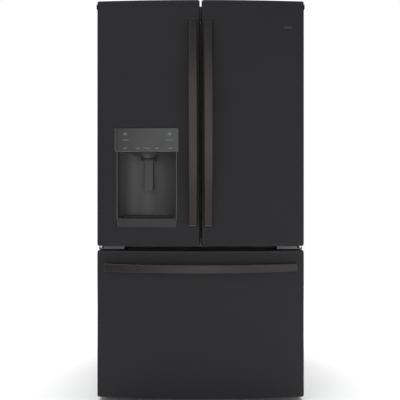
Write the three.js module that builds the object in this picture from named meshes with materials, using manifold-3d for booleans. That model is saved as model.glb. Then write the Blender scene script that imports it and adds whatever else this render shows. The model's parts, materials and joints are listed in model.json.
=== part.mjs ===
// French door refrigerator with a bottom freezer drawer and a dispenser in the left door.
// Millimetres, +Z up. The doors face -Y, +X is to the right of a person facing them.
// The origin is on the floor under the middle of the overall footprint, handles included.
import * as THREE from "three";
import { mergeVertices } from "three/addons/utils/BufferGeometryUtils.js";
import Module from "manifold-3d";

const wasm = await Module();
wasm.setup();

// ---------------------------------------------------------------- driving dimensions
const fit = 0.4; // gap left between pieces that touch
const doorWidthAll = 908; // both doors and the drawer front
const caseWidth = doorWidthAll - 6;
const caseDepth = 746; // cabinet without doors
const caseTop = 1745;
const caseBottom = 30; // lower edge of the side panels
const basePlateZ = 72; // underside of the base plate
const sheet = 2; // steel sheet of the case and the doors
const drawerBottom = 22;
const doorSplit = 20.5; // gap between the drawer and the doors, where the centre hinges sit
const mullionBottom = 640; // fixed beam between the two compartments
const mullionTop = 706;
const drawerHeight = mullionBottom + 24 - drawerBottom;
const doorHeight = caseTop + 13 - drawerHeight - drawerBottom - doorSplit;
const gasketGap = 12; // from the cabinet front to the back of a door
const doorEdge = 98; // thickness of a door at its outer edge
const doorBulge = 26; // how far the curved front stands out in the middle
const doorGap = 8.4; // gap between the two doors
const doorLiner = 3;
const wallSide = 45; // foam walls of the cabinet
const wallTop = 50;
const wallBack = 58;
const linerWall = 2.6;
const freezerFloor = 118;
const freezerLowDepth = caseDepth - 294; // in front of the machine compartment
const freezerHighDepth = caseDepth - 106;
const freezerStepZ = 330;
const machineDepthY = caseDepth - 266; // front wall of the machine compartment
const machineTop = 262;
const openingEdge = 2; // steel front flange around each compartment
const valvePlate = 4; // the plate for the water inlet stands this far off the back

const hingeInset = 13; // from a door's outer edge to its hinge axis
const hingeY = -gasketGap - doorEdge + 34;
const pinRadius = 5;
const pinClearance = 0.6;

const handleWidth = 38;
const handleEndWidth = 33;
const handleThickness = 18;
const handleStandoff = 40; // finger room behind the middle of a handle
const doorHandleX = 33.5;
const doorHandleZ = [drawerBottom + drawerHeight + 111, caseTop - 73];
const drawerHandleZ = drawerBottom + drawerHeight - 71;
const drawerHandleHalf = doorWidthAll / 2 - 34;
const handleFoot = 30;
const handleEndRise = 20;

const dispenserX = -0.2588 * doorWidthAll;
const panelHalf = 139.5;
const bezelHalf = 132;
const wellHalf = 126.5;
const wellWall = 3;
const wellSide = 35; // straight part of the well's side walls
const wellDepth = doorEdge + 30;
const bezelThickness = 26;
const bezelProud = 1.5;
const panelProud = 2.5;

// ---------------------------------------------------------------- derived places
const doorHalf = doorWidthAll / 2;
const caseHalf = caseWidth / 2;
const drawerTop = drawerBottom + drawerHeight;
const doorBottom = drawerTop + doorSplit;
const doorTop = doorBottom + doorHeight;
const doorBack = -gasketGap;
const frontEdgeY = -gasketGap - doorEdge;
const bulgeRadius = (doorHalf ** 2 + doorBulge ** 2) / (2 * doorBulge);
const bulgeCentreY = frontEdgeY - doorBulge + bulgeRadius;
const hingeX = doorHalf - hingeInset;
const pocketHalf = caseHalf - sheet - wallSide;
const pocketTop = caseTop - sheet - wallTop;
const pocketBack = caseDepth - sheet - wallBack;
const linerHalf = pocketHalf - fit - linerWall; // clear half width of a compartment
const handleFrontY = frontEdgeY - doorBulge - handleStandoff - handleThickness;
const overallFrontY = handleFrontY;
const shiftY = -(overallFrontY + caseDepth + valvePlate) / 2; // puts the origin under the middle of the footprint

// heights on the doors and in the fresh-food compartment are drawn for a door 1073.5 mm high,
// and this moves them with the door
const up = (z) => doorBottom + ((z - doorBottom) * doorHeight) / 1073.5;
const panelZ = [up(1098), up(1200)];
const bezelZ = [up(767), panelZ[0] - fit];
const wellZ = [up(806), panelZ[0] - 1];

// y of the curved front at x, moved out by `out`
const frontY = (x, out = 0) => bulgeCentreY - Math.sqrt((bulgeRadius + out) ** 2 - x * x);

// ---------------------------------------------------------------- materials
const finish = (color, roughness, metalness = 0) =>
  new THREE.MeshStandardMaterial({ color, roughness, metalness });
const slate = finish(0x2f2f31, 0.5, 0.3);
const handleMetal = finish(0x403d3b, 0.35, 0.8);
const caseGrey = finish(0x3a3a3c, 0.55, 0.2);
const linerWhite = finish(0xe9ebec, 0.4);
const foamCream = finish(0xd9cfa8, 0.9);
const gasketGrey = finish(0x4a4b4d, 0.7);
const clearPlastic = finish(0xdfe6ea, 0.15);
const shelfGlass = finish(0xd5e2e4, 0.05);
const panelGloss = finish(0x4b4b4c, 0.2, 0.3);
const wellGrey = finish(0x48494a, 0.45);
const blackPlastic = finish(0x17181a, 0.5);
const zinc = finish(0xa9abad, 0.35, 0.9);
const castBlack = finish(0x1b1c1e, 0.45, 0.3);
const galvanised = finish(0x9fa3a5, 0.5, 0.7);

// ---------------------------------------------------------------- solid modelling helpers
function solid(geometry) {
  const bare = geometry.index ? geometry.toNonIndexed() : geometry.clone();
  bare.deleteAttribute("normal");
  bare.deleteAttribute("uv");
  const merged = mergeVertices(bare, 1e-4);
  return new wasm.Manifold(
    new wasm.Mesh({
      numProp: 3,
      vertProperties: new Float32Array(merged.attributes.position.array),
      triVerts: new Uint32Array(merged.index.array),
    }),
  );
}

function box(x, y, z) {
  const g = new THREE.BoxGeometry(x[1] - x[0], y[1] - y[0], z[1] - z[0]);
  g.translate((x[0] + x[1]) / 2, (y[0] + y[1]) / 2, (z[0] + z[1]) / 2);
  return solid(g);
}

const join = (first, ...rest) => rest.reduce((a, b) => a.add(b), first);
const cut = (first, ...rest) => rest.reduce((a, b) => a.subtract(b), first);

// a shape drawn in the XY plane, standing from z[0] to z[1]
function standing(shape, z, curveSegments = 8) {
  const g = new THREE.ExtrudeGeometry(shape, {
    depth: z[1] - z[0],
    bevelEnabled: false,
    curveSegments,
  });
  g.translate(0, 0, z[0]);
  return solid(g);
}

// a shape drawn as (y, z), lying from x[0] to x[1]
function lying(shape, x, curveSegments = 8) {
  const g = new THREE.ExtrudeGeometry(shape, {
    depth: x[1] - x[0],
    bevelEnabled: false,
    curveSegments,
  });
  g.rotateY(Math.PI / 2); // (y, z) -> local x becomes -Z, so the next turn puts them right
  g.rotateX(Math.PI / 2);
  g.translate(x[0], 0, 0);
  return solid(g);
}

// a shape drawn as (x, z), running back from y[0] to y[1]
function facing(shape, y, curveSegments = 8) {
  const g = new THREE.ExtrudeGeometry(shape, {
    depth: y[1] - y[0],
    bevelEnabled: false,
    curveSegments,
  });
  g.rotateX(Math.PI / 2);
  g.translate(0, y[1], 0);
  return solid(g);
}

// a round piece about a vertical axis, from [radius, z] points
function turned(points, x, y, segments = 20) {
  const g = new THREE.LatheGeometry(
    points.map(([r, z]) => new THREE.Vector2(r, z)),
    segments,
  );
  g.rotateX(Math.PI / 2);
  g.translate(x, y, 0);
  return solid(g);
}

const rod = (radius, z, x, y, segments = 16) =>
  turned([[0, z[0]], [radius, z[0]], [radius, z[1]], [0, z[1]]], x, y, segments);

// a rod along X
function crossRod(radius, x, y, z, segments = 16) {
  const g = new THREE.CylinderGeometry(radius, radius, x[1] - x[0], segments);
  g.rotateZ(Math.PI / 2);
  g.translate((x[0] + x[1]) / 2, y, z);
  return solid(g);
}

// an open-topped tray or bin
const tray = (x, y, z, wall, floor = wall) =>
  cut(
    box(x, y, z),
    box([x[0] + wall, x[1] - wall], [y[0] + wall, y[1] - wall], [z[0] + floor, z[1] + 1]),
  );

function node(name, material, made) {
  const mesh = made.getMesh();
  const geometry = new THREE.BufferGeometry();
  geometry.setAttribute("position", new THREE.BufferAttribute(mesh.vertProperties, 3));
  geometry.setIndex(new THREE.BufferAttribute(mesh.triVerts, 1));
  geometry.computeVertexNormals();
  const out = new THREE.Mesh(geometry, material);
  out.name = name;
  return out;
}

function group(...children) {
  const g = new THREE.Group();
  g.add(...children);
  return g;
}

// mirrors an [x0, x1] pair to the given side, side being -1 on the left and 1 on the right
const sided = (side, x) => (side > 0 ? x : [-x[1], -x[0]]);

// ---------------------------------------------------------------- cabinet
const freshOpening = { x: [-pocketHalf, pocketHalf], z: [mullionTop, pocketTop] };
const freezerOpening = { x: [-pocketHalf, pocketHalf], z: [freezerFloor, mullionBottom] };
const rollerX = caseHalf - 51;
const rollerY = caseDepth - 46;
const rollerRadius = 22;
const legX = caseHalf - 51;
const legY = 60;

function outerCase() {
  const inside = caseHalf - sheet;
  let made = cut(
    box([-caseHalf, caseHalf], [0, caseDepth], [caseBottom, caseTop]),
    box([-inside, inside], [openingEdge, caseDepth + 1], [basePlateZ + sheet, caseTop - sheet]),
    box([-inside, inside], [-1, caseDepth + 1], [caseBottom - 1, basePlateZ]),
    box(freshOpening.x, [-1, openingEdge + 1], freshOpening.z),
    box(freezerOpening.x, [-1, openingEdge + 1], freezerOpening.z),
  );
  const earGap = 12; // roller ears, each side of a roller
  const earThickness = 4;
  for (const side of [-1, 1])
    for (const hand of [-1, 1]) {
      const from = side * rollerX + hand * earGap;
      const x = hand > 0 ? [from, from + earThickness] : [from - earThickness, from];
      made = made.add(box(x, [rollerY - 14, rollerY + 14], [14, basePlateZ + 1]));
      made = made.subtract(crossRod(pinRadius + pinClearance, [x[0] - 1, x[1] + 1], rollerY, rollerRadius));
    }
  return made;
}

function cabinetFoam() {
  const half = caseHalf - sheet - fit;
  const open = -1;
  return cut(
    box([-half, half], [openingEdge + fit, caseDepth - sheet - fit],
      [basePlateZ + sheet + fit, caseTop - sheet - fit]),
    box(freshOpening.x, [open, pocketBack], freshOpening.z),
    box(freezerOpening.x, [open, freezerLowDepth], freezerOpening.z),
    box(freezerOpening.x, [open, freezerHighDepth], [freezerStepZ, mullionBottom]),
    box([-half - 1, half + 1], [machineDepthY, caseDepth], [basePlateZ, machineTop]),
  );
}

const shelfLedge = 8;
const shelfLevels = { cover: up(909), lower: up(1153), left: up(1330), right: up(1398) };
const shelfY = [125, pocketBack - 36];

function freshLiner() {
  const out = pocketHalf - fit;
  const ledge = (side, top) =>
    box(sided(side, [linerHalf - shelfLedge, linerHalf + 1]), [60, shelfY[1]],
      [top - 10, top - fit]);
  return join(
    cut(
      box([-out, out], [fit, pocketBack - fit], [mullionTop + fit, pocketTop - fit]),
      box([-linerHalf, linerHalf], [-1, pocketBack - fit - linerWall],
        [mullionTop + fit + linerWall, pocketTop - fit - linerWall]),
    ),
    ledge(-1, shelfLevels.cover), ledge(1, shelfLevels.cover),
    ledge(-1, shelfLevels.lower), ledge(1, shelfLevels.lower),
    ledge(-1, shelfLevels.left), ledge(1, shelfLevels.right),
  );
}

const basketLedgeZ = 438;
const basketLedgeX = linerHalf - 20;

function freezerLiner() {
  const out = pocketHalf - fit;
  const low = mullionBottom - fit;
  const shell = cut(
    join(
      box([-out, out], [fit, freezerLowDepth - fit], [freezerFloor + fit, low]),
      box([-out, out], [fit, freezerHighDepth - fit], [freezerStepZ + fit, low]),
    ),
    box([-linerHalf, linerHalf], [-1, freezerLowDepth - fit - linerWall],
      [freezerFloor + fit + linerWall, low - linerWall]),
    box([-linerHalf, linerHalf], [-1, freezerHighDepth - fit - linerWall],
      [freezerStepZ + fit + linerWall, low - linerWall]),
  );
  const ledge = (side) =>
    box(sided(side, [basketLedgeX, linerHalf + 1]), [12, freezerHighDepth - 10],
      [basketLedgeZ - 8, basketLedgeZ]);
  return join(shell, ledge(-1), ledge(1));
}

function backPanel() {
  const half = caseHalf - sheet - fit;
  return join(
    box([-half, half], [caseDepth - sheet, caseDepth], [machineTop + fit, caseTop - sheet - fit]),
    box([220, 330], [caseDepth - sheet / 2, caseDepth + valvePlate], [310, 380]),
  );
}

function slots(x, y, z, count, width, height) {
  const pitch = (x[1] - x[0]) / count;
  return Array.from({ length: count }, (_, i) => {
    const mid = x[0] + (i + 0.5) * pitch;
    return box([mid - width / 2, mid + width / 2], y, [z - height / 2, z + height / 2]);
  });
}

function machineCover() {
  const half = caseHalf - sheet - fit;
  const y = [caseDepth - sheet, caseDepth];
  const through = [y[0] - 1, y[1] + 1];
  const plate = box([-half, half], y, [basePlateZ + sheet + fit, machineTop - fit]);
  return cut(
    plate,
    ...slots([51 - caseHalf, -60], through, 168, 12, 10, 110),
    ...slots([60, caseHalf - 51], through, 168, 12, 10, 110),
  );
}

function toeGrille() {
  const half = caseHalf - 11;
  const plate = box([-half, half], [8, 14], [caseBottom + 2, basePlateZ - fit]);
  return cut(plate, ...slots([20 - half, half - 20], [7, 15], 51, 20, 32, 14));
}

const levelingLeg = (side) =>
  turned([[0, 0], [20, 0], [20, 6], [12, 12], [7, 14], [7, basePlateZ - fit], [0, basePlateZ - fit]],
    side * legX, legY, 18);

const rearRoller = (side) =>
  join(
    crossRod(rollerRadius, [side * rollerX - 10, side * rollerX + 10], rollerY, rollerRadius, 28),
    crossRod(pinRadius, [side * rollerX - 17, side * rollerX + 17], rollerY, rollerRadius),
  );

// ---------------------------------------------------------------- machine compartment
const machineFloor = basePlateZ + sheet + fit;
const fanX = 20;
const fanY = caseDepth - 141;
const fanZ = 168;
const fanRadius = 62;

function compressor() {
  const x = -230;
  const y = caseDepth - 136;
  const shell = turned(
    [[0, 84], [60, 84], [78, 100], [84, 125], [84, 165], [76, 195], [55, 216], [0, 222]],
    x, y, 24,
  );
  const foot = box([x - 100, x + 100], [y - 55, y + 55], [machineFloor, 86]);
  const pipe = rod(6, [200, 245], x + 30, y + 20, 10);
  return join(shell, foot, pipe);
}

function drainPan() {
  return tray([90, 330], [machineDepthY + 20, caseDepth - 26], [machineFloor, 104], 2.5);
}

function condenser() {
  const x = [110, 310];
  const y = [machineDepthY + 40, caseDepth - 46];
  const z = [112, 236];
  const motor = crossRod(18, [fanX + 22, x[0] + 1], fanY, fanZ, 16);
  const strut = box([fanX + 60, fanX + 66], [fanY - 60, fanY + 60], [machineFloor + 0.2, 240]);
  const arm = box([fanX + 60, x[0] + 1], [fanY - 8, fanY + 8], [machineFloor + 60, machineFloor + 76]);
  const base = cut(
    join(box(x, y, z), motor, arm),
    ...[0, 1, 2].map((i) => box([x[0] + 20, x[1] - 20], [y[0] - 1, y[1] + 1], [130 + i * 34, 144 + i * 34])),
  );
  return join(base, strut);
}

function condenserFan() {
  const blade = (turn) => {
    const g = new THREE.BoxGeometry(2.5, fanRadius - 14, 40);
    g.rotateY(0.5); // pitch of the blade
    g.translate(0, (fanRadius + 14) / 2 - 2, 0);
    g.rotateX(turn);
    g.translate(fanX + 8, fanY, fanZ);
    return solid(g);
  };
  const hub = crossRod(16, [fanX - 4, fanX + 20], fanY, fanZ, 20);
  return join(hub, ...[0, 1, 2, 3, 4].map((i) => blade((i * 2 * Math.PI) / 5)));
}

// ---------------------------------------------------------------- shelves and crispers
const shelfHeight = 12;
const shelfRim = 10;
const glassThickness = 4;

// a glass pane held in a moulded rim, its top at `top`
function shelf(x, top) {
  const z = [top - shelfHeight, top];
  const inner = [x[0] + shelfRim, x[1] - shelfRim];
  return cut(
    box(x, shelfY, z),
    box(inner, [shelfY[0] + shelfRim, shelfY[1] - shelfRim], [top - 1.5, top + 1]),
    box(inner, [shelfY[0] + shelfRim, shelfY[1] - shelfRim], [z[0] - 1, top - 1.5 - glassThickness]),
  );
}

const shelfHalf = linerHalf - 2;
const crisperY = [shelfY[0] + 5, shelfY[1] - 2];
const crisperZ = [mullionTop + fit + linerWall + 1.5, shelfLevels.cover - 12];
const crisperX = [5, linerHalf - shelfLedge - 3];

function crisper(side) {
  const x = sided(side, crisperX);
  const bin = tray(x, crisperY, crisperZ, 3, 3);
  const lip = box([x[0] + 30, x[1] - 30], [crisperY[0] - 14, crisperY[0] + 1], [crisperZ[1] - 16, crisperZ[1] - 8]);
  return join(bin, lip);
}

function airDuct() {
  const back = pocketBack - fit - linerWall - fit;
  const shape = new THREE.Shape();
  shape.moveTo(-70, back);
  shape.lineTo(-70, back - 18);
  shape.quadraticCurveTo(0, shelfY[1] - 0, 70, back - 18);
  shape.lineTo(70, back);
  shape.closePath();
  const tower = standing(shape, [up(935), up(1610)], 8);
  const vents = [0, 1, 2, 3, 4, 5].map((i) =>
    box([-40, 40], [shelfY[1] - 10, back - 12], [up(1000 + i * 100), up(1008 + i * 100)]));
  return cut(tower, ...vents);
}

// ---------------------------------------------------------------- hinges
function topHinge(side) {
  const x = (v) => side * v;
  const shape = new THREE.Shape();
  shape.absarc(hingeX, hingeY, 12, Math.PI, 2 * Math.PI, false);
  shape.lineTo(hingeX + 6, -40);
  shape.lineTo(hingeX + 6, 104);
  shape.lineTo(caseHalf - 79, 104);
  shape.lineTo(caseHalf - 79, 6);
  shape.lineTo(hingeX - 12, -24);
  shape.closePath();
  const z = [caseTop + fit, caseTop + fit + 4];
  const plate = standing(mirrored(shape, side), z, 8);
  const pin = rod(pinRadius, [z[0] - 34, z[0] + 1], x(hingeX), hingeY);
  return join(plate, pin);
}

// the same outline on the other side of the cabinet
function mirrored(shape, side) {
  if (side > 0) return shape;
  const points = shape.getPoints(8).map((p) => new THREE.Vector2(-p.x, p.y));
  return new THREE.Shape(points.reverse());
}

const coverTop = caseTop + 30;

function hingeCover(side) {
  const y = [-8, 118];
  const z = [caseTop + fit, coverTop];
  return cut(
    box(sided(side, [caseHalf - 85, caseHalf - 2]), y, z),
    box(sided(side, [caseHalf - 82.5, caseHalf - 3.2]), [y[0] + 2.5, y[1] - 2.5], [z[0] - 1, z[1] - 2.5]),
    box(sided(side, [hingeX - 60, caseHalf - 2.8]), [y[0] - 1, y[0] + 4], [z[0] - 1, z[0] + 5]),
  );
}

const centreHingeZ = drawerTop + 4;
const hingeFlange = caseHalf - 114; // inner end of a centre hinge

function centreHinge(side) {
  const x = (v) => side * v;
  const outer = doorHalf - 4;
  const shape = new THREE.Shape();
  const lipY = hingeY - 16;
  shape.moveTo(hingeFlange, -fit);
  shape.lineTo(hingeFlange, lipY);
  shape.lineTo(outer - 10, lipY);
  shape.quadraticCurveTo(outer, lipY, outer, lipY + 10);
  shape.lineTo(outer, hingeY + 16);
  shape.lineTo(outer - 6, -fit);
  shape.closePath();
  const plate = standing(mirrored(shape, side), [centreHingeZ, centreHingeZ + 5], 6);
  const lip = box(sided(side, [hingeFlange, hingeX - 13]), [lipY, lipY + 4],
    [centreHingeZ, centreHingeZ + 13]);
  const flange = box(sided(side, [hingeFlange, outer - 6]), [-3.4, -fit], [drawerTop - 6, doorBottom + 2.5]);
  const collar = rod(9, [centreHingeZ + 1, doorBottom - 1], x(hingeX), hingeY);
  const pin = rod(pinRadius, [centreHingeZ + 1, doorBottom + 20], x(hingeX), hingeY);
  return join(plate, lip, flange, collar, pin);
}

// ---------------------------------------------------------------- doors
// plan of a door between two x values, moved in by `inset` on its front and sides
function doorPlan(xa, xb, inset, back) {
  const a = xa + inset;
  const b = xb - inset;
  const corner = 7 - inset;
  const radius = bulgeRadius - inset;
  const angle = (x) => Math.asin(x / radius);
  const y = (x) => bulgeCentreY - Math.sqrt(radius ** 2 - x * x);
  const shape = new THREE.Shape();
  shape.moveTo(b, back);
  shape.lineTo(a, back);
  shape.lineTo(a, y(a) + corner);
  shape.quadraticCurveTo(a, y(a + corner / 2), a + corner, y(a + corner));
  shape.absarc(0, bulgeCentreY, radius, -Math.PI / 2 + angle(a + corner), -Math.PI / 2 + angle(b - corner), false);
  shape.quadraticCurveTo(b, y(b - corner / 2), b, y(b) + corner);
  shape.closePath();
  return shape;
}

// a slice that follows the curved front, from `out` in front of it to `deep` behind it
function frontBand(xa, xb, out, deep, z) {
  const r1 = bulgeRadius + out;
  const r2 = bulgeRadius - deep;
  const shape = new THREE.Shape();
  shape.absarc(0, bulgeCentreY, r1, -Math.PI / 2 + Math.asin(xa / r1), -Math.PI / 2 + Math.asin(xb / r1), false);
  shape.absarc(0, bulgeCentreY, r2, -Math.PI / 2 + Math.asin(xb / r2), -Math.PI / 2 + Math.asin(xa / r2), true);
  shape.closePath();
  return standing(shape, z, 8);
}

const notchDepth = 16; // the door's top is cut down here for the top hinge
const notchWidth = 74;
const notchFrontY = hingeY - 22;
const pinHole = pinRadius + pinClearance;

function hingeNotch(side, grow) {
  const x = sided(side, [doorHalf - notchWidth - grow, doorHalf + 1]);
  return box(x, [notchFrontY - grow, doorBack + 5], [doorTop - notchDepth - grow, doorTop + 1]);
}

const doorX = (side) => sided(side, [doorGap / 2, doorHalf]);

function doorSkin(side) {
  const x = doorX(side);
  const outer = standing(doorPlan(x[0], x[1], 0, doorBack), [doorBottom, doorTop], 8);
  const inner = standing(doorPlan(x[0], x[1], sheet, doorBack + 5), [doorBottom + sheet, doorTop - sheet], 8);
  return cut(
    outer.subtract(hingeNotch(side, 0)),
    inner.subtract(hingeNotch(side, sheet)),
    rod(pinHole, [doorTop - notchDepth - 6, doorTop], side * hingeX, hingeY),
    rod(pinHole, [doorBottom - 2, doorBottom + 6], side * hingeX, hingeY),
  );
}

function leftDoorSkin() {
  const slot = 0.5;
  const deep = 40;
  return cut(
    doorSkin(-1),
    box([dispenserX - panelHalf - slot, dispenserX + panelHalf + slot],
      [frontEdgeY - doorBulge - 1, frontEdgeY + deep], [panelZ[0] - slot, panelZ[1] + slot]),
    box([dispenserX - bezelHalf - slot, dispenserX + bezelHalf + slot],
      [frontEdgeY - doorBulge - 1, frontEdgeY + deep], [bezelZ[0] - slot, panelZ[0]]),
  );
}

const dikeOuter = linerHalf - 5; // the raised rim that enters the compartment
const dikeInner = 56;
const dikeWidth = 24;
const dikeY = 26;
const dikeZ = [mullionTop + 12, pocketTop - 12];

function linerPlate(side) {
  const x = doorX(side);
  const inset = sheet + fit;
  return box([x[0] + inset, x[1] - inset], [doorBack - doorLiner, doorBack], [doorBottom + inset, doorTop - inset])
    .subtract(hingeNotch(side, inset));
}

function dikes(side, zRange = dikeZ, xRange = [dikeInner, dikeOuter], depth = dikeY) {
  const x = sided(side, xRange);
  const y = [doorBack - 1, depth];
  return cut(
    box(x, y, zRange),
    box([x[0] + dikeWidth, x[1] - dikeWidth], [doorBack, depth + 1], [zRange[0] + dikeWidth, zRange[1] - dikeWidth]),
  );
}

const bumpX = [dispenserX - bezelHalf - 4, dispenserX + bezelHalf + 4];
const bumpZ = [wellZ[0] - 16, up(1210)];
const bumpY = 44;
const chuteRadius = 36;
const chuteY = frontEdgeY + 52;
const hopperFront = frontEdgeY + 16;
const chuteMouth = 40; // half width of the hole the ice falls through
const chuteMouthY = [1, 35];
const paddlePivot = { y: -14, z: wellZ[1] - 33 };
const paddleRod = 4;
const paddleEar = [27, 34]; // the ears that hold the paddle's rod, from its middle

function leftDoorLiner() {
  const wall = doorLiner;
  const inner = [[bumpX[0] + wall, bumpX[1] - wall], [doorBack - doorLiner - 1, bumpY - wall],
    [bumpZ[0] + wall, bumpZ[1] - wall]];
  const mouth = box([dispenserX - chuteMouth, dispenserX + chuteMouth], chuteMouthY, [bumpZ[1] - 20, bumpZ[1] + 1]);
  return cut(join(linerPlate(-1), dikes(-1), box(bumpX, [doorBack - 1, bumpY], bumpZ)), box(...inner), mouth);
}

const rightDoorLiner = () => join(linerPlate(1), dikes(1));

function gasketRing(x, z) {
  const y = [doorBack + fit, -fit];
  const width = 16;
  return cut(box(x, y, z),
    box([x[0] + width, x[1] - width], [y[0] - 1, y[1] + 1], [z[0] + width, z[1] - width]));
}

const gasketX = [9, caseHalf - 15];
const doorGasket = (side) => gasketRing(sided(side, gasketX), [mullionTop - 17, pocketTop + 17]);

// a bowed bar with its two feet on the door: `across` is half its length, `ends` where a foot starts
function bow(across, base, endFront, midFront, midBack, foot, footBase) {
  const arc = (shape, half, edge, middle, forward) => {
    const rise = edge - middle;
    const radius = (half * half + rise * rise) / (2 * rise);
    const sweep = Math.asin(half / radius);
    const centre = middle + radius;
    shape.absarc(0, centre, radius, -Math.PI / 2 + (forward ? -sweep : sweep),
      -Math.PI / 2 + (forward ? sweep : -sweep), !forward);
  };
  const shape = new THREE.Shape();
  shape.moveTo(-across, base);
  shape.lineTo(-across, endFront);
  arc(shape, across, endFront, midFront, true);
  shape.lineTo(across, base);
  shape.lineTo(across - foot, footBase);
  arc(shape, across - foot, footBase, midBack, false);
  shape.closePath();
  return shape;
}

// the bar's face, wider in the middle than at its ends
function handleFace(half) {
  const mid = handleWidth / 2;
  const end = handleEndWidth / 2;
  const crown = 2 * mid - end;
  const shape = new THREE.Shape();
  shape.moveTo(-half, -end);
  shape.quadraticCurveTo(0, -crown, half, -end);
  shape.lineTo(half, end);
  shape.quadraticCurveTo(0, crown, -half, end);
  shape.closePath();
  return shape;
}

const handleMidFront = handleFrontY;
const handleMidBack = handleFrontY + handleThickness;

function barHandle(half, surfaceEnd, surfaceFoot) {
  const endFront = surfaceEnd - handleEndRise;
  const plan = standing(
    bow(half, surfaceEnd - fit, endFront, handleMidFront, handleMidBack, handleFoot, surfaceFoot - fit),
    [-handleWidth, handleWidth], 18);
  return plan.intersect(facing(handleFace(half + 0.01), [handleFrontY - 5, 0], 12));
}

function drawerHandle() {
  const made = barHandle(drawerHandleHalf, frontY(drawerHandleHalf), frontY(drawerHandleHalf - handleFoot));
  return made.translate([0, 0, drawerHandleZ]);
}

function doorHandle(side) {
  const half = (doorHandleZ[1] - doorHandleZ[0]) / 2;
  const surface = frontY(doorHandleX - handleWidth / 2);
  const made = barHandle(half, surface, surface).rotate([0, 90, 0]);
  return made.translate([side * doorHandleX, 0, (doorHandleZ[0] + doorHandleZ[1]) / 2]);
}

// ---------------------------------------------------------------- dispenser
function wellPlan(grow) {
  const front = frontY(dispenserX) + 2;
  const half = wellHalf + grow;
  const shape = new THREE.Shape();
  shape.moveTo(dispenserX - half, front);
  shape.lineTo(dispenserX + half, front);
  shape.lineTo(dispenserX + half, front + wellSide);
  shape.absellipse(dispenserX, front + wellSide, half, wellDepth - wellSide + grow, 0, Math.PI, false, 0);
  shape.closePath();
  return shape;
}

function dispenserWell() {
  const z = [wellZ[0] - wellWall, wellZ[1] + wellWall - 0.4];
  const body = standing(wellPlan(wellWall), z, 16);
  const behindBezel = frontY(dispenserX - bezelHalf) + bezelThickness + fit;
  const front = box([dispenserX - 200, dispenserX + 200], [-300, behindBezel], [0, 2000]);
  const ear = (side) =>
    box(sided(side, paddleEar).map((v) => v + dispenserX),
      [paddlePivot.y - 7, paddlePivot.y + 14], [paddlePivot.z - 8, paddlePivot.z + 8]);
  const shell = cut(
    body.subtract(front),
    standing(wellPlan(0), wellZ, 16),
    rod(chuteRadius + fit, [wellZ[1] - 1, wellZ[1] + 10], dispenserX, chuteY, 24),
  );
  return cut(join(shell, ear(-1), ear(1)),
    crossRod(paddleRod + fit, [dispenserX - 50, dispenserX + 50], paddlePivot.y, paddlePivot.z, 12));
}

function dispenserBezel() {
  const band = frontBand(dispenserX - bezelHalf, dispenserX + bezelHalf, bezelProud, bezelThickness, bezelZ);
  return cut(
    band,
    box([dispenserX - wellHalf, dispenserX + wellHalf], [-300, 0], [wellZ[0], bezelZ[1] + 1]),
  );
}

const dispenserPanel = () =>
  frontBand(dispenserX - panelHalf, dispenserX + panelHalf, panelProud, 22, panelZ);

const nozzleTip = wellZ[1] - 27;

// the spout under the well's ceiling, with the hopper above it that the ice box empties into
function dispenserNozzle() {
  const wall = 3;
  const r = chuteRadius;
  const flange = wellZ[1] - fit;
  const floor = flange + 54;
  const top = bumpZ[1] - doorLiner - fit;
  const back = bumpY - doorLiner - fit;
  const hopper = (inset, lid) => {
    const shape = new THREE.Shape(); // (y, z)
    shape.moveTo(hopperFront + inset, floor + inset);
    shape.lineTo(chuteY + r, floor + inset);
    shape.lineTo(back - inset, top - 14 + inset);
    shape.lineTo(back - inset, top + lid);
    shape.lineTo(hopperFront + inset, top + lid);
    shape.closePath();
    return lying(shape, [dispenserX - 46 + inset, dispenserX + 46 - inset], 4);
  };
  const spout = turned(
    [[0, nozzleTip], [25, nozzleTip], [50, flange - 8], [55, flange], [r, flange], [r, floor + 1], [0, floor + 1]],
    dispenserX, chuteY, 24);
  const bore = turned(
    [[0, nozzleTip - 1], [21, nozzleTip - 1], [r - wall, flange - 2], [r - wall, floor + 20], [0, floor + 20]],
    dispenserX, chuteY, 24);
  return cut(join(spout, hopper(0, 0)), hopper(wall, 5), bore);
}

function dispenserPaddle() {
  const shape = new THREE.Shape(); // (y, z)
  const top = paddlePivot.z + 6;
  const tip = top - 149;
  shape.moveTo(-17, top);
  shape.lineTo(-11, top);
  shape.lineTo(-12, top - 60);
  shape.lineTo(-24, tip);
  shape.lineTo(-30, tip);
  shape.lineTo(-18, top - 60);
  shape.closePath();
  return lying(shape, [dispenserX - 20, dispenserX + 20], 4)
    .add(crossRod(paddleRod, [dispenserX - 32, dispenserX + 32], paddlePivot.y, paddlePivot.z, 12));
}

function dripTray() {
  const front = frontY(dispenserX) + 34;
  const shape = new THREE.Shape();
  const half = 105;
  shape.moveTo(dispenserX - half, front);
  shape.lineTo(dispenserX + half, front);
  shape.absellipse(dispenserX, front, half, 64, 0, Math.PI, false, 0);
  shape.closePath();
  const body = standing(shape, [wellZ[0] + fit, wellZ[0] + 9], 12);
  return cut(body, ...slots([dispenserX - 70, dispenserX + 70], [front + 8, front + 42], wellZ[0] + 7, 10, 6, 10));
}

function iceBox() {
  const x = [dikeWidth + 10 - dikeOuter, -dikeInner - dikeWidth - 10];
  const y = [doorBack + fit, shelfY[0] - 13];
  const z = [bumpZ[1] + 6, up(1500)];
  const wall = 10;
  return cut(
    box(x, y, z),
    box([x[0] + wall, x[1] - wall], [y[0] + wall, y[1] - wall], [z[0] + wall, z[1] - wall]),
    box([dispenserX - chuteMouth, dispenserX + chuteMouth], chuteMouthY, [z[0] - 1, z[0] + wall + 1]),
  );
}

// ---------------------------------------------------------------- flap between the doors
const flapPivot = { x: -44, y: 14 };
const flapX = [-50, -7.4];
const flapY = [1, 21];
const flapZ = [mullionTop + 8, pocketTop - 8];

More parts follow.
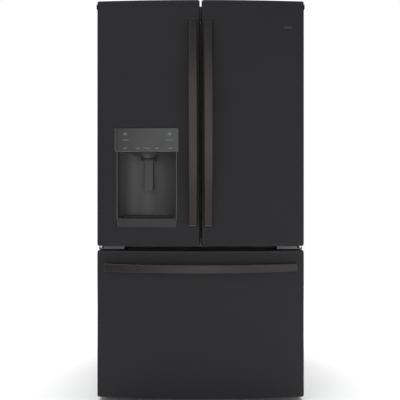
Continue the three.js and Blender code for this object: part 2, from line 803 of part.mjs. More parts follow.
function mullionFlap() {
  const plate = box(flapX, flapY, flapZ);
  return cut(plate, box([flapX[0] + 6, flapX[1] + 1 - 7], [flapY[1] - 6, flapY[1] + 1], [flapZ[0] + 30, flapZ[1] - 30]));
}

// ---------------------------------------------------------------- door bins
const binWall = 3;

function doorBin(side, z, depth, height) {
  const x = sided(side, [dikeInner + dikeWidth + fit, dikeOuter - dikeWidth - fit]);
  return tray(x, [doorBack + fit, depth], [z, z + height], binWall);
}

// ---------------------------------------------------------------- freezer drawer
function drawerSkin() {
  const z = [drawerBottom, drawerTop];
  return cut(
    standing(doorPlan(-doorHalf, doorHalf, 0, doorBack), z, 14),
    standing(doorPlan(-doorHalf, doorHalf, sheet, doorBack + 5), [z[0] + sheet, z[1] - sheet], 14),
  );
}

const drawerDikeHalf = basketLedgeX - 1;

function drawerLiner() {
  const inset = sheet + fit;
  const plate = box([-doorHalf + inset, doorHalf - inset], [doorBack - doorLiner, doorBack],
    [drawerBottom + inset, drawerTop - inset]);
  const rim = dikes(1, [freezerFloor + 14, mullionBottom - 14], [-drawerDikeHalf, drawerDikeHalf], 16);
  return join(plate, rim);
}

const drawerGasket = () => gasketRing([-gasketX[1], gasketX[1]], [freezerFloor - 17, mullionBottom + 13]);

// telescopic runner: three nested members on each side, drawn for the right side
const runnerZ = 320; // mid height of a runner
const runnerY = [22, freezerLowDepth - 12];

function channel(side, x, halfHeight, wall) {
  const outer = box(sided(side, x), runnerY, [runnerZ - halfHeight, runnerZ + halfHeight]);
  const gap = box(sided(side, [x[0] - 1, x[1] - wall]), [runnerY[0] - 1, runnerY[1] + 1],
    [runnerZ - halfHeight + wall, runnerZ + halfHeight - wall]);
  return outer.subtract(gap);
}

const runnerOuter = (side) => channel(side, [linerHalf - 12, linerHalf - fit], 20, 1.6);
const runnerMiddle = (side) => channel(side, [linerHalf - 14, linerHalf - 2.6], 17.6, 1.6);

function runnerInner(side) {
  const y = [doorBack + fit, runnerY[1]];
  const bar = box(sided(side, [linerHalf - 10, linerHalf - 5]), y, [runnerZ - 15, runnerZ + 15]);
  const flange = box(sided(side, [basketHalf + fit, linerHalf - 9]), [runnerY[0] + 10, runnerY[1]],
    [runnerZ - 2, runnerZ + 2]);
  return join(bar, flange);
}

const basketHalf = linerHalf - 25;

function lowerBasket() {
  const bin = tray([-basketHalf, basketHalf], [32, runnerY[1]], [freezerFloor + 12, 412], 3);
  const divider = box([-1.5, 1.5], [34, runnerY[1] - 2], [freezerFloor + 14, 360]);
  return join(bin, divider);
}

// The floor of the upper basket runs out past its sides and slides on the ledges.
function upperBasket() {
  const half = basketLedgeX - 5;
  const y = [32, freezerHighDepth - 40];
  const floor = [basketLedgeZ + fit, basketLedgeZ + 3.4];
  return join(tray([-half, half], y, [floor[0], 556], 3), box([2 - linerHalf, linerHalf - 2], y, floor));
}

// ---------------------------------------------------------------- assembly
const cabinet = group(
  node("outer_case", caseGrey, outerCase()),
  node("back_panel", galvanised, backPanel()),
  node("cabinet_foam", foamCream, cabinetFoam()),
  node("fresh_food_liner", linerWhite, freshLiner()),
  node("freezer_liner", linerWhite, freezerLiner()),
  node("air_duct", linerWhite, airDuct()),
  node("machine_cover", galvanised, machineCover()),
  node("toe_grille", blackPlastic, toeGrille()),
  node("compressor", castBlack, compressor()),
  node("condenser", castBlack, condenser()),
  node("drain_pan", blackPlastic, drainPan()),
  node("shelf_upper_left", shelfGlass, shelf([-shelfHalf, -4], shelfLevels.left + shelfHeight)),
  node("shelf_upper_right", shelfGlass, shelf([4, shelfHalf], shelfLevels.right + shelfHeight)),
  node("shelf_lower", shelfGlass, shelf([-shelfHalf, shelfHalf], shelfLevels.lower + shelfHeight)),
  node("crisper_cover", shelfGlass, shelf([-shelfHalf, shelfHalf], shelfLevels.cover + shelfHeight)),
  node("top_hinge_left", zinc, topHinge(-1)),
  node("top_hinge_right", zinc, topHinge(1)),
  node("hinge_cover_left", blackPlastic, hingeCover(-1)),
  node("hinge_cover_right", blackPlastic, hingeCover(1)),
  node("centre_hinge_left", zinc, centreHinge(-1)),
  node("centre_hinge_right", zinc, centreHinge(1)),
  node("runner_outer_left", zinc, runnerOuter(-1)),
  node("runner_outer_right", zinc, runnerOuter(1)),
);

const feet = group(
  node("leveling_leg_left", zinc, levelingLeg(-1)),
  node("leveling_leg_right", zinc, levelingLeg(1)),
  node("rear_roller_left", blackPlastic, rearRoller(-1)),
  node("rear_roller_right", blackPlastic, rearRoller(1)),
);

const fan = group(node("condenser_fan", blackPlastic, condenserFan()));

const crispers = group(
  node("crisper_left", clearPlastic, crisper(-1)),
  node("crisper_right", clearPlastic, crisper(1)),
);

const leftDoor = group(
  node("left_door_skin", slate, leftDoorSkin()),
  node("left_door_liner", linerWhite, leftDoorLiner()),
  node("left_door_gasket", gasketGrey, doorGasket(-1)),
  node("left_door_handle", handleMetal, doorHandle(-1)),
  node("dispenser_panel", panelGloss, dispenserPanel()),
  node("dispenser_bezel", wellGrey, dispenserBezel()),
  node("dispenser_well", wellGrey, dispenserWell()),
  node("dispenser_nozzle", wellGrey, dispenserNozzle()),
  node("dispenser_paddle", wellGrey, dispenserPaddle()),
  node("drip_tray", blackPlastic, dripTray()),
  node("ice_box", linerWhite, iceBox()),
  node("left_door_bin", clearPlastic, doorBin(-1, up(1514), 96, 62)),
  node("mullion_flap", gasketGrey, mullionFlap()),
);

const rightDoor = group(
  node("right_door_skin", slate, doorSkin(1)),
  node("right_door_liner", linerWhite, rightDoorLiner()),
  node("right_door_gasket", gasketGrey, doorGasket(1)),
  node("right_door_handle", handleMetal, doorHandle(1)),
  node("right_door_bin_lower", clearPlastic, doorBin(1, up(925), 112, 120)),
  node("right_door_bin_middle", clearPlastic, doorBin(1, up(1180), 104, 100)),
  node("right_door_bin_upper", clearPlastic, doorBin(1, up(1440), 96, 90)),
);

const freezerDrawer = group(
  node("drawer_skin", slate, drawerSkin()),
  node("drawer_liner", linerWhite, drawerLiner()),
  node("drawer_gasket", gasketGrey, drawerGasket()),
  node("drawer_handle", handleMetal, drawerHandle()),
  node("lower_basket", clearPlastic, lowerBasket()),
  node("runner_inner_left", zinc, runnerInner(-1)),
  node("runner_inner_right", zinc, runnerInner(1)),
  node("runner_middle_left", zinc, runnerMiddle(-1)),
  node("runner_middle_right", zinc, runnerMiddle(1)),
  node("upper_basket", clearPlastic, upperBasket()),
);

const refrigerator = new THREE.Group();
refrigerator.add(cabinet, feet, fan, crispers, leftDoor, rightDoor, freezerDrawer);
refrigerator.children.forEach((piece) => piece.position.set(0, shiftY, 0));

export default refrigerator;
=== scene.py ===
"""Looks for a french door refrigerator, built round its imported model. Metres, +Z up, doors facing -Y."""

import json
import math

import bmesh
import bpy
from bpy.props import FloatProperty, FloatVectorProperty, IntProperty, PointerProperty
from bpy.types import Operator, Panel, PropertyGroup
from mathutils import Matrix, Vector


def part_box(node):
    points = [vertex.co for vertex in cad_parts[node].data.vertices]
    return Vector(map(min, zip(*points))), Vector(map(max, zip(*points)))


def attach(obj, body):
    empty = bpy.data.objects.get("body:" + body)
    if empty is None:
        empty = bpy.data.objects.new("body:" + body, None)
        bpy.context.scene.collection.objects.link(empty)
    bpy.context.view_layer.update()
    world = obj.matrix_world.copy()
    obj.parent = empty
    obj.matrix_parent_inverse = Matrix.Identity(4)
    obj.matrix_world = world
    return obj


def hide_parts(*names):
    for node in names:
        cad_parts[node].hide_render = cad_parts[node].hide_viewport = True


bl_info = {
    "name": "French Door Refrigerator",
    "version": (1, 0, 0),
    "blender": (4, 5, 0),
    "location": "View3D > Sidebar > Refrigerator",
    "description": "Builds the doors, drawer, handles, dispenser, interior and stage of a refrigerator",
    "category": "Object",
}

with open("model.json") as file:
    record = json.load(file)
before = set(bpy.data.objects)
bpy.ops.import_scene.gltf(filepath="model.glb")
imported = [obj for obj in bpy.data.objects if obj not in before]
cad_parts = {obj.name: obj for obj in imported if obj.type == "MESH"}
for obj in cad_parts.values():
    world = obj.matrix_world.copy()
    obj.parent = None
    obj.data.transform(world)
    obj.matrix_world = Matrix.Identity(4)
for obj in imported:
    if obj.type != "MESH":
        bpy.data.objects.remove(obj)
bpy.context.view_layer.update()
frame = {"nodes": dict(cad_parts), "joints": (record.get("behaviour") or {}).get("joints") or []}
JOINTS = {joint["name"]: joint for joint in frame["joints"]}


def corners(node):
    """The lowest and highest corners of a CAD node at rest."""
    low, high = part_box(node)
    return Vector(low), Vector(high)


DRAWER = corners("drawer_skin")
LEFT_DOOR = corners("left_door_skin")
RIGHT_DOOR = corners("right_door_skin")
CASE = corners("outer_case")
PANEL = corners("dispenser_panel")
BEZEL = corners("dispenser_bezel")
WELL = corners("dispenser_well")
CROWN = DRAWER[0].y  # the front's foremost line, in the middle
DOOR_PIN = Vector(JOINTS["right_door_hinge"]["pos_m"])  # the left door's pin mirrors it
PADDLE_PIN = Vector(JOINTS["dispenser_paddle_hinge"]["pos_m"])


# ------------------------------------------------------------------ settings
class FridgeShape(PropertyGroup):
    """The doors' curves and edges"""

    bulge: FloatProperty(
        name="Front bulge", description="How far the curved front stands out in the middle",
        default=0.026, min=0.005, max=0.08, subtype="DISTANCE", unit="LENGTH")
    corner: FloatProperty(
        name="Door corner radius", description="Radius of a door's upright front edges",
        default=0.007, min=0.002, max=0.02, subtype="DISTANCE", unit="LENGTH")
    edge: FloatProperty(
        name="Door edge radius", description="Rounding of a door's top and bottom edges",
        default=0.003, min=0.001, max=0.01, subtype="DISTANCE", unit="LENGTH")
    round_off: FloatProperty(
        name="Face corner radius", description="Rounding of a door's corners seen from the front",
        default=0.007, min=0.001, max=0.03, subtype="DISTANCE", unit="LENGTH")
    cap: FloatProperty(
        name="End cap height", description="Height of the trim along the top and bottom of a door",
        default=0.0062, min=0.003, max=0.02, subtype="DISTANCE", unit="LENGTH")
    front_steps: IntProperty(
        name="Front steps", description="Facets across the curved front of a door",
        default=36, min=12, max=96)


class FridgeFinish(PropertyGroup):
    """The colours that the finishes start from"""

    slate: FloatVectorProperty(
        name="Door colour", description="Painted steel of the doors and the drawer front",
        default=(0.0212, 0.0212, 0.0232), subtype="COLOR", min=0, max=1)
    case: FloatVectorProperty(
        name="Case colour", description="Textured paint of the cabinet sides and top",
        default=(0.034, 0.034, 0.036), subtype="COLOR", min=0, max=1)
    handle: FloatVectorProperty(
        name="Handle colour", description="Brushed metal of the handles",
        default=(0.049, 0.0440, 0.0415), subtype="COLOR", min=0, max=1)
    liner: FloatVectorProperty(
        name="Liner colour", description="Moulded plastic inside the compartments",
        default=(0.78, 0.80, 0.81), subtype="COLOR", min=0, max=1)
    panel: FloatVectorProperty(
        name="Control panel colour", description="Glossy plastic of the dispenser's controls",
        default=(0.0125, 0.0125, 0.0128), subtype="COLOR", min=0, max=1)
    dispenser: FloatVectorProperty(
        name="Dispenser colour", description="Satin plastic of the dispenser recess",
        default=(0.075, 0.075, 0.077), subtype="COLOR", min=0, max=1)


class FridgeStage(PropertyGroup):
    """The camera, the light and the floor"""

    distance: FloatProperty(
        name="Camera distance", description="From the doors' outer edges to the camera",
        default=2.66, min=1, max=10, subtype="DISTANCE", unit="LENGTH")
    eye: FloatProperty(
        name="Camera height", description="Height of the camera above the floor",
        default=1.0086, min=0.2, max=3, subtype="DISTANCE", unit="LENGTH")
    lens: FloatProperty(
        name="Focal length", description="Focal length on a 36 mm sensor",
        default=54.55, min=15, max=200, subtype="DISTANCE_CAMERA")
    shift: FloatProperty(
        name="Vertical shift", description="Lens shift that keeps the uprights parallel",
        default=-0.07, min=-0.2, max=0.2, subtype="FACTOR")
    room: FloatProperty(
        name="Room light", description="Brightness of the soft light from all round",
        default=0.34, min=0, max=2, subtype="FACTOR")
    glow: FloatProperty(
        name="Front glow", description="Extra brightness of the soft light from straight ahead",
        default=1.45, min=0, max=5)
    reach: FloatProperty(
        name="Floor reach", description="Radius of the floor, which fades out over its outer half",
        default=3.0, min=1, max=20, subtype="DISTANCE", unit="LENGTH")


def shape():
    """The settings of the doors' shape."""
    return bpy.context.scene.fridge_shape


def colours():
    """The settings of the colours."""
    return bpy.context.scene.fridge_finish


# ------------------------------------------------------------------ mesh tools
def front_y(x, out=0.0):
    """The y of the curved front at x, moved forward by out."""
    bulge, half = shape().bulge, DRAWER[1].x
    radius = (half * half + bulge * bulge) / (2 * bulge)
    return CROWN + radius - math.sqrt((radius + out) ** 2 - x * x)


def block(bm, low, high, radius=0.001, steps=2, finish=0):
    """A box with rounded edges."""
    low, high = Vector(low), Vector(high)
    size = high - low
    verts = bmesh.ops.create_cube(bm, size=1)["verts"]
    for v in verts:
        v.co = Vector([low[i] + (v.co[i] + 0.5) * size[i] for i in range(3)])
    faces = list(dict.fromkeys(f for v in verts for f in v.link_faces))  # in the same order each run
    for f in faces:
        f.material_index = finish
    if radius:
        edges = list(dict.fromkeys(e for f in faces for e in f.edges))
        bmesh.ops.bevel(bm, geom=edges, offset=min(radius, 0.45 * min(size)), segments=steps,
                        profile=0.5, affect="EDGES")


def loft(bm, rings, closed=True, caps=(True, True), finish=0, looped=False):
    """Joins rings of points, each as long as the next, into one skin."""
    rows = [[bm.verts.new(p) for p in ring] for ring in rings]
    n = len(rows[0])
    span = n if closed else n - 1
    pairs = list(zip(rows, rows[1:]))
    if looped:
        pairs.append((rows[-1], rows[0]))
    for a, b in pairs:
        for i in range(span):
            j = (i + 1) % n
            bm.faces.new((a[i], a[j], b[j], b[i])).material_index = finish
    if not looped:
        if caps[0]:
            bm.faces.new(list(reversed(rows[0]))).material_index = finish
        if caps[1]:
            bm.faces.new(rows[-1]).material_index = finish
    return rows


def round_rect(w, h, radius, steps=5):
    """Points round a rectangle w by h about the origin, anticlockwise from its right side."""
    radius = min(radius, w / 2 - 1e-5, h / 2 - 1e-5)
    out = []
    for k, (sx, sy) in enumerate(((1, 1), (-1, 1), (-1, -1), (1, -1))):
        for i in range(steps + 1):
            a = math.pi / 2 * (k + i / steps)
            out.append((sx * (w / 2 - radius) + radius * math.cos(a),
                        sy * (h / 2 - radius) + radius * math.sin(a)))
    return out


def lathe(bm, profile, centre, axis="Z", sides=40, finish=0):
    """A turned form from (radius, along) points, both ends closed where the radius is 0."""
    turn = {"Z": Matrix.Identity(3), "X": Matrix.Rotation(math.pi / 2, 3, "Y"),
            "Y": Matrix.Rotation(-math.pi / 2, 3, "X")}[axis]
    rings = []
    for r, z in profile:
        if r < 1e-6:
            rings.append([bm.verts.new(Vector(centre) + turn @ Vector((0, 0, z)))])
        else:
            rings.append([bm.verts.new(Vector(centre) + turn @ Vector(
                (r * math.cos(2 * math.pi * i / sides), r * math.sin(2 * math.pi * i / sides), z)))
                for i in range(sides)])
    for a, b in zip(rings, rings[1:]):
        for i in range(sides):
            j = (i + 1) % sides
            loop = [a[i % len(a)], a[j % len(a)], b[j % len(b)], b[i % len(b)]]
            seen = list(dict.fromkeys(loop))
            if len(seen) > 2:
                bm.faces.new(seen).material_index = finish


def pipe(bm, points, radius, sides=10, finish=0):
    """A round rod that follows the points."""
    points = [Vector(p) for p in points]
    rings = []
    side = None
    for i, p in enumerate(points):
        ahead = (points[min(i + 1, len(points) - 1)] - points[max(i - 1, 0)]).normalized()
        if side is None:
            side = ahead.orthogonal().normalized()
        side = (side - ahead * side.dot(ahead)).normalized()
        up = ahead.cross(side)
        rings.append([p + radius * (side * math.cos(2 * math.pi * k / sides)
                                    + up * math.sin(2 * math.pi * k / sides)) for k in range(sides)])
    loft(bm, rings, finish=finish)


def curve_points(points, steps=6):
    """A smooth path through the points."""
    points = [Vector(p) for p in points]
    out = []
    for i in range(len(points) - 1):
        a, b = points[i], points[i + 1]
        before, after = points[max(i - 1, 0)], points[min(i + 2, len(points) - 1)]
        for k in range(steps):
            t = k / steps
            out.append(0.5 * ((2 * a) + (b - before) * t + (2 * before - 5 * a + 4 * b - after) * t * t
                              + (3 * a - before - 3 * b + after) * t ** 3))
    return out + [points[-1]]


def arched_plate(bm, x, z, out, thick, radius=0.0012, columns=12, finish=0):
    """A plate that follows the curved front between two x and two z, with rounded edges."""
    soft = (0, 0.3, 1)

    def stops(a, b, n):
        inner = [a + radius + (b - a - 2 * radius) * i / n for i in range(1, n)]
        return [a + radius * s for s in soft] + inner + [b - radius * s for s in reversed(soft)]

    xs, zs = stops(x[0], x[1], columns), stops(z[0], z[1], 2)

    def drop(d):
        d = min(d / radius, 1)
        return radius * (1 - math.sqrt(max(0, 1 - (1 - d) ** 2)))

    grid = [[bm.verts.new((px, front_y(px, out) + max(drop(min(px - x[0], x[1] - px)),
                                                      drop(min(pz - z[0], z[1] - pz))), pz))
             for px in xs] for pz in zs]
    for a, b in zip(grid, grid[1:]):
        for i in range(len(xs) - 1):
            bm.faces.new((a[i], a[i + 1], b[i + 1], b[i])).material_index = finish
    rim = (grid[0] + [row[-1] for row in grid[1:]] + list(reversed(grid[-1]))[1:]
           + [row[0] for row in reversed(grid[1:-1])])
    back = [bm.verts.new((v.co.x, front_y(v.co.x, out) + thick, v.co.z)) for v in rim]
    for i in range(len(rim)):
        j = (i + 1) % len(rim)
        bm.faces.new((rim[j], rim[i], back[i], back[j])).material_index = finish


def tub(bm, low, high, wall=0.003, radius=0.012, rim=0.003, taper=0.004, finish=0):
    """An open moulded tray with round corners, sloping walls and a turned-out rim."""
    low, high = Vector(low), Vector(high)
    centre = (low + high) / 2
    w, d = high.x - low.x, high.y - low.y

    def ring(inset, z, r):
        return [(centre.x + px, centre.y + py, z)
                for px, py in round_rect(w - 2 * inset, d - 2 * inset, r)]

    lip = 0.005
    rings = [ring(rim + taper + 0.006, low.z, radius - 0.004),
             ring(rim + taper + 0.0015, low.z + 0.0015, radius),
             ring(rim + taper, low.z + 0.006, radius),
             ring(rim, high.z - lip - 0.001, radius),
             ring(0.0005, high.z - lip, radius),
             ring(0, high.z - lip + 0.001, radius),
             ring(0, high.z - 0.001, radius),
             ring(0.001, high.z, radius),
             ring(rim + wall - 0.001, high.z, radius),
             ring(rim + wall, high.z - 0.001, radius),
             ring(rim + taper + wall, low.z + wall + 0.006, radius - 0.001),
             ring(rim + taper + wall + 0.0015, low.z + wall + 0.0015, radius - 0.001),
             ring(rim + taper + wall + 0.006, low.z + wall, radius - 0.005)]
    loft(bm, rings, finish=finish)


def frame_ring(bm, profile, x, z, finish=0):
    """A profile of (outward, y) points carried round a rectangle with mitred corners."""
    rings = [[(cx + sx * o, y, cz + sz * o) for o, y in profile]
             for cx, sx, cz, sz in ((x[0], -1, z[0], -1), (x[1], 1, z[0], -1),
                                    (x[1], 1, z[1], 1), (x[0], -1, z[1], 1))]
    loft(bm, rings, looped=True, finish=finish)


def piece(name, bm, body, finishes, replaces=(), sharp=32, thicken=0.0, weighted=True):
    """Turns a bmesh into a named piece that rides on a body."""
    bmesh.ops.recalc_face_normals(bm, faces=bm.faces)
    data = bpy.data.meshes.new(name)
    bm.to_mesh(data)
    bm.free()
    for f in finishes:
        data.materials.append(finish_of(f))
    data.shade_smooth()
    data.set_sharp_from_angle(angle=math.radians(sharp))
    made = bpy.data.objects.new(name, data)
    bpy.context.scene.collection.objects.link(made)
    if thicken:
        wall = made.modifiers.new("Wall", "SOLIDIFY")
        wall.thickness, wall.offset = thicken, -1
    if weighted:
        made.modifiers.new("Even shading", "WEIGHTED_NORMAL").keep_sharp = True
    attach(made, body)
    if replaces:
        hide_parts(*replaces)
    return made


def dress(node, finish, radius=0.0015, steps=3, angle=30, merge=True):
    """Keeps a CAD node, rounds its edges with modifiers and gives it a finish."""
    obj = frame["nodes"][node]
    data = obj.data
    if "custom_normal" in data.attributes:
        data.attributes.remove(data.attributes["custom_normal"])
    data.shade_smooth()
    data.materials.clear()
    data.materials.append(finish_of(finish))
    obj.modifiers.new("Weld", "WELD").merge_threshold = 1e-5
    if merge:
        flat = obj.modifiers.new("Flat faces", "DECIMATE")
        flat.decimate_type, flat.angle_limit = "DISSOLVE", math.radians(1.0)
    if radius:
        bevel = obj.modifiers.new("Soft edges", "BEVEL")
        bevel.width, bevel.segments = radius, steps
        bevel.limit_method, bevel.angle_limit = "ANGLE", math.radians(angle)
        bevel.harden_normals = merge
        bevel.use_clamp_overlap = True
    return obj


# ------------------------------------------------------------------ finishes
class Finish:
    """A small helper that wires one procedural material."""

    def __init__(self, name):
        self.material = bpy.data.materials.new(name)
        self.material.use_nodes = True
        self.tree = self.material.node_tree
        self.shader = self.tree.nodes["Principled BSDF"]
        self.place = self.add("ShaderNodeTexCoord").outputs["Object"]

    def add(self, kind, links=None, values=None, **settings):
        """A node of this kind, with its settings, values and incoming links."""
        node = self.tree.nodes.new(kind)
        for k, v in settings.items():
            setattr(node, k, v)
        for k, v in (values or {}).items():
            node.inputs[k].default_value = v
        for k, v in (links or {}).items():
            self.tree.links.new(v, node.inputs[k])
        return node

    def set(self, **values):
        """Sets the shader's own sockets."""
        for k, v in values.items():
            self.shader.inputs[k.replace("_", " ")].default_value = v
        return self

    def to(self, socket, output):
        """Links an output to one of the shader's sockets."""
        self.tree.links.new(output, self.shader.inputs[socket])
        return self

    def noise(self, scale, detail=3.0, rough=0.5, stretch=None):
        """Soft noise between 0 and 1, optionally stretched along an axis."""
        place = self.place
        if stretch:
            place = self.add("ShaderNodeMapping", {"Vector": place}, {"Scale": stretch}).outputs[0]
        return self.add("ShaderNodeTexNoise", {"Vector": place},
                        {"Scale": scale, "Detail": detail, "Roughness": rough}).outputs["Fac"]

    def spread(self, value, low, high, start=0.3, end=0.7):
        """Maps a value onto the range from low to high."""
        return self.add("ShaderNodeMapRange", {"Value": value},
                        {"From Min": start, "From Max": end, "To Min": low, "To Max": high}).outputs[0]

    def mixed(self, fac, a, b):
        """A colour between a and b."""
        node = self.add("ShaderNodeMix", data_type="RGBA")
        self.tree.links.new(fac, node.inputs["Factor"])
        node.inputs[6].default_value = (*a, 1)
        node.inputs[7].default_value = (*b, 1)
        return node.outputs[2]

    def bumps(self, height, distance, strength=1.0, after=None):
        """A bumped normal, on top of another where one is given."""
        links = {"Height": height}
        if after is not None:
            links["Normal"] = after
        return self.add("ShaderNodeBump", links,
                        {"Distance": distance, "Strength": strength}).outputs[0]


def shade(c, k):
    """A colour made lighter or darker by a factor."""
    return tuple(min(1, v * k) for v in c)


def moulded(name, colour, roughness, specular=0.5, pebble=260, depth=0.00006, mottle=0.05, coat=0.0,
            wave=0.25):
    """Moulded plastic: faint mottling, uneven gloss, a fine pebble and long soft waves."""
    f = Finish(name).set(Specular_IOR_Level=specular, Coat_Weight=coat, Coat_Roughness=0.15)
    broad = f.noise(9, 4)
    f.to("Base Color", f.mixed(broad, shade(colour, 1 - mottle), shade(colour, 1 + mottle)))
    f.to("Roughness", f.spread(f.noise(26, 3), roughness - 0.05, roughness + 0.06))
    fine = f.bumps(f.noise(pebble * 4, 2), depth, 0.6)
    f.to("Normal", f.bumps(f.noise(14, 2), 0.0004, wave, fine))
    return f


def slate_paint():
    """Satin metallic door paint: flake sparkle, orange peel and faint wipe marks."""
    c = tuple(colours().slate)
    f = Finish("slate_paint").set(Metallic=0.10, Specular_IOR_Level=0.22)
    flake = f.add("ShaderNodeTexVoronoi", {"Vector": f.place}, {"Scale": 2600.0}).outputs["Color"]
    flakes = f.add("ShaderNodeSeparateColor", {"Color": flake}).outputs[0]
    tone = f.spread(flakes, 0.0, 1.0, 0.0, 1.0)
    f.to("Base Color", f.mixed(tone, shade(c, 0.88), shade(c, 1.14)))
    wipe = f.noise(3.2, 5, 0.6, (1.0, 1.0, 3.0))
    f.to("Roughness", f.spread(wipe, 0.50, 0.56))
    peel = f.bumps(f.noise(900, 2), 0.00003, 0.55)
    f.to("Normal", f.bumps(f.noise(5, 2, 0.4), 0.0016, 0.10, peel))
    return f


def case_paint():
    """Textured paint of the cabinet: a coarse leathery pebble."""
    c = tuple(colours().case)
    f = Finish("case_paint").set(Specular_IOR_Level=0.4)
    cells = f.add("ShaderNodeTexVoronoi", {"Vector": f.place}, {"Scale": 420.0},
                  feature="SMOOTH_F1").outputs["Distance"]
    f.to("Base Color", f.mixed(f.noise(420, 3), shade(c, 0.90), shade(c, 1.12)))
    f.to("Roughness", f.spread(f.noise(6, 4), 0.50, 0.55))
    f.to("Normal", f.bumps(cells, 0.00035, 0.5, f.bumps(f.noise(3, 2), 0.0012, 0.03)))
    return f


def brushed(name, colour, roughness, along, metallic=1.0, scratch=0.00004, polish=0.0):
    """Brushed metal: fine lines along one axis, with uneven polish."""
    stretch = [700, 700, 700]
    stretch["XYZ".index(along)] = 6
    f = Finish(name).set(Metallic=metallic, Anisotropic=0.35)
    lines = f.noise(1, 4, 0.65, stretch)
    f.to("Base Color", f.mixed(lines, shade(colour, 0.86), shade(colour, 1.14)))
    smear = f.noise(7, 3)
    f.to("Roughness", f.spread(smear, roughness - 0.04 - polish, roughness + 0.05))
    f.to("Normal", f.bumps(lines, scratch, 0.7))
    return f


def galvanised():
    """Zinc-coated sheet: soft spangle with a dull bloom."""
    f = Finish("galvanised").set(Metallic=0.85)
    spangle = f.add("ShaderNodeTexVoronoi", {"Vector": f.place}, {"Scale": 95.0}).outputs["Color"]
    grey = f.add("ShaderNodeSeparateColor", {"Color": spangle}).outputs[0]
    f.to("Base Color", f.mixed(f.spread(grey, 0, 1, 0, 1), (0.35, 0.36, 0.37), (0.41, 0.42, 0.432)))
    f.to("Roughness", f.spread(f.noise(5, 4), 0.42, 0.54))
    f.to("Normal", f.bumps(f.noise(9, 2), 0.0010, 0.10))
    return f


def clear_plastic():
    """Clear tub plastic with a cool tint and a faint moulded ripple."""
    f = Finish("clear_plastic").set(Transmission_Weight=0.88, IOR=1.45, Specular_IOR_Level=0.5)
    f.to("Base Color", f.mixed(f.noise(5, 3), (0.89, 0.93, 0.95), (0.93, 0.96, 0.97)))
    f.to("Roughness", f.spread(f.noise(20, 3), 0.08, 0.14))
    f.to("Normal", f.bumps(f.noise(9, 1), 0.0003, 0.10))
    return f


def frosted_plastic():
    """Milky plastic of the baskets and the bins' front bands."""
    f = Finish("frosted_plastic").set(Transmission_Weight=0.35, IOR=1.45)
    f.to("Base Color", f.mixed(f.noise(8, 3), (0.83, 0.87, 0.89), (0.87, 0.90, 0.92)))
    f.to("Roughness", f.spread(f.noise(30, 3), 0.30, 0.38))
    f.to("Normal", f.bumps(f.noise(700, 2), 0.00002, 0.3))
    return f


def shelf_glass():
    """Tempered glass with a green cast and faint smudges."""
    f = Finish("shelf_glass").set(Transmission_Weight=0.94, IOR=1.5)
    f.to("Base Color", f.mixed(f.noise(4, 3), (0.78, 0.90, 0.87), (0.86, 0.95, 0.92)))
    f.to("Roughness", f.spread(f.noise(11, 5, 0.7), 0.01, 0.07))
    return f


def gasket_rubber():
    """Soft grey rubber with a fine dry grain."""
    f = Finish("gasket_rubber").set(Specular_IOR_Level=0.3)
    f.to("Base Color", f.mixed(f.noise(30, 4), (0.060, 0.060, 0.063), (0.085, 0.085, 0.088)))
    f.to("Roughness", f.spread(f.noise(70, 3), 0.62, 0.78))
    f.to("Normal", f.bumps(f.noise(500, 3), 0.0001, 0.5))
    return f


def lamp_lens():
    """Diffusing lens of the interior light."""
    f = Finish("lamp_lens").set(Emission_Strength=2.6, Emission_Color=(0.93, 0.97, 1.0, 1),
                                Roughness=0.35)
    f.to("Base Color", f.mixed(f.noise(40, 2), (0.86, 0.88, 0.9), (0.93, 0.94, 0.95)))
    f.to("Normal", f.bumps(f.add("ShaderNodeTexWave", {"Vector": f.place}, {"Scale": 120.0}).outputs[0],
                           0.0004, 0.4))
    return f


def finned():
    """Stacked condenser fins."""
    f = Finish("condenser_fins").set(Metallic=0.4)
    fins = f.add("ShaderNodeTexWave", {"Vector": f.place}, {"Scale": 160.0, "Distortion": 0.4},
                 bands_direction="X").outputs[1]
    f.to("Base Color", f.mixed(fins, (0.006, 0.006, 0.007), (0.035, 0.035, 0.038)))
    f.to("Roughness", f.spread(f.noise(40, 3), 0.4, 0.6))
    f.to("Normal", f.bumps(fins, 0.0012, 0.8))
    return f


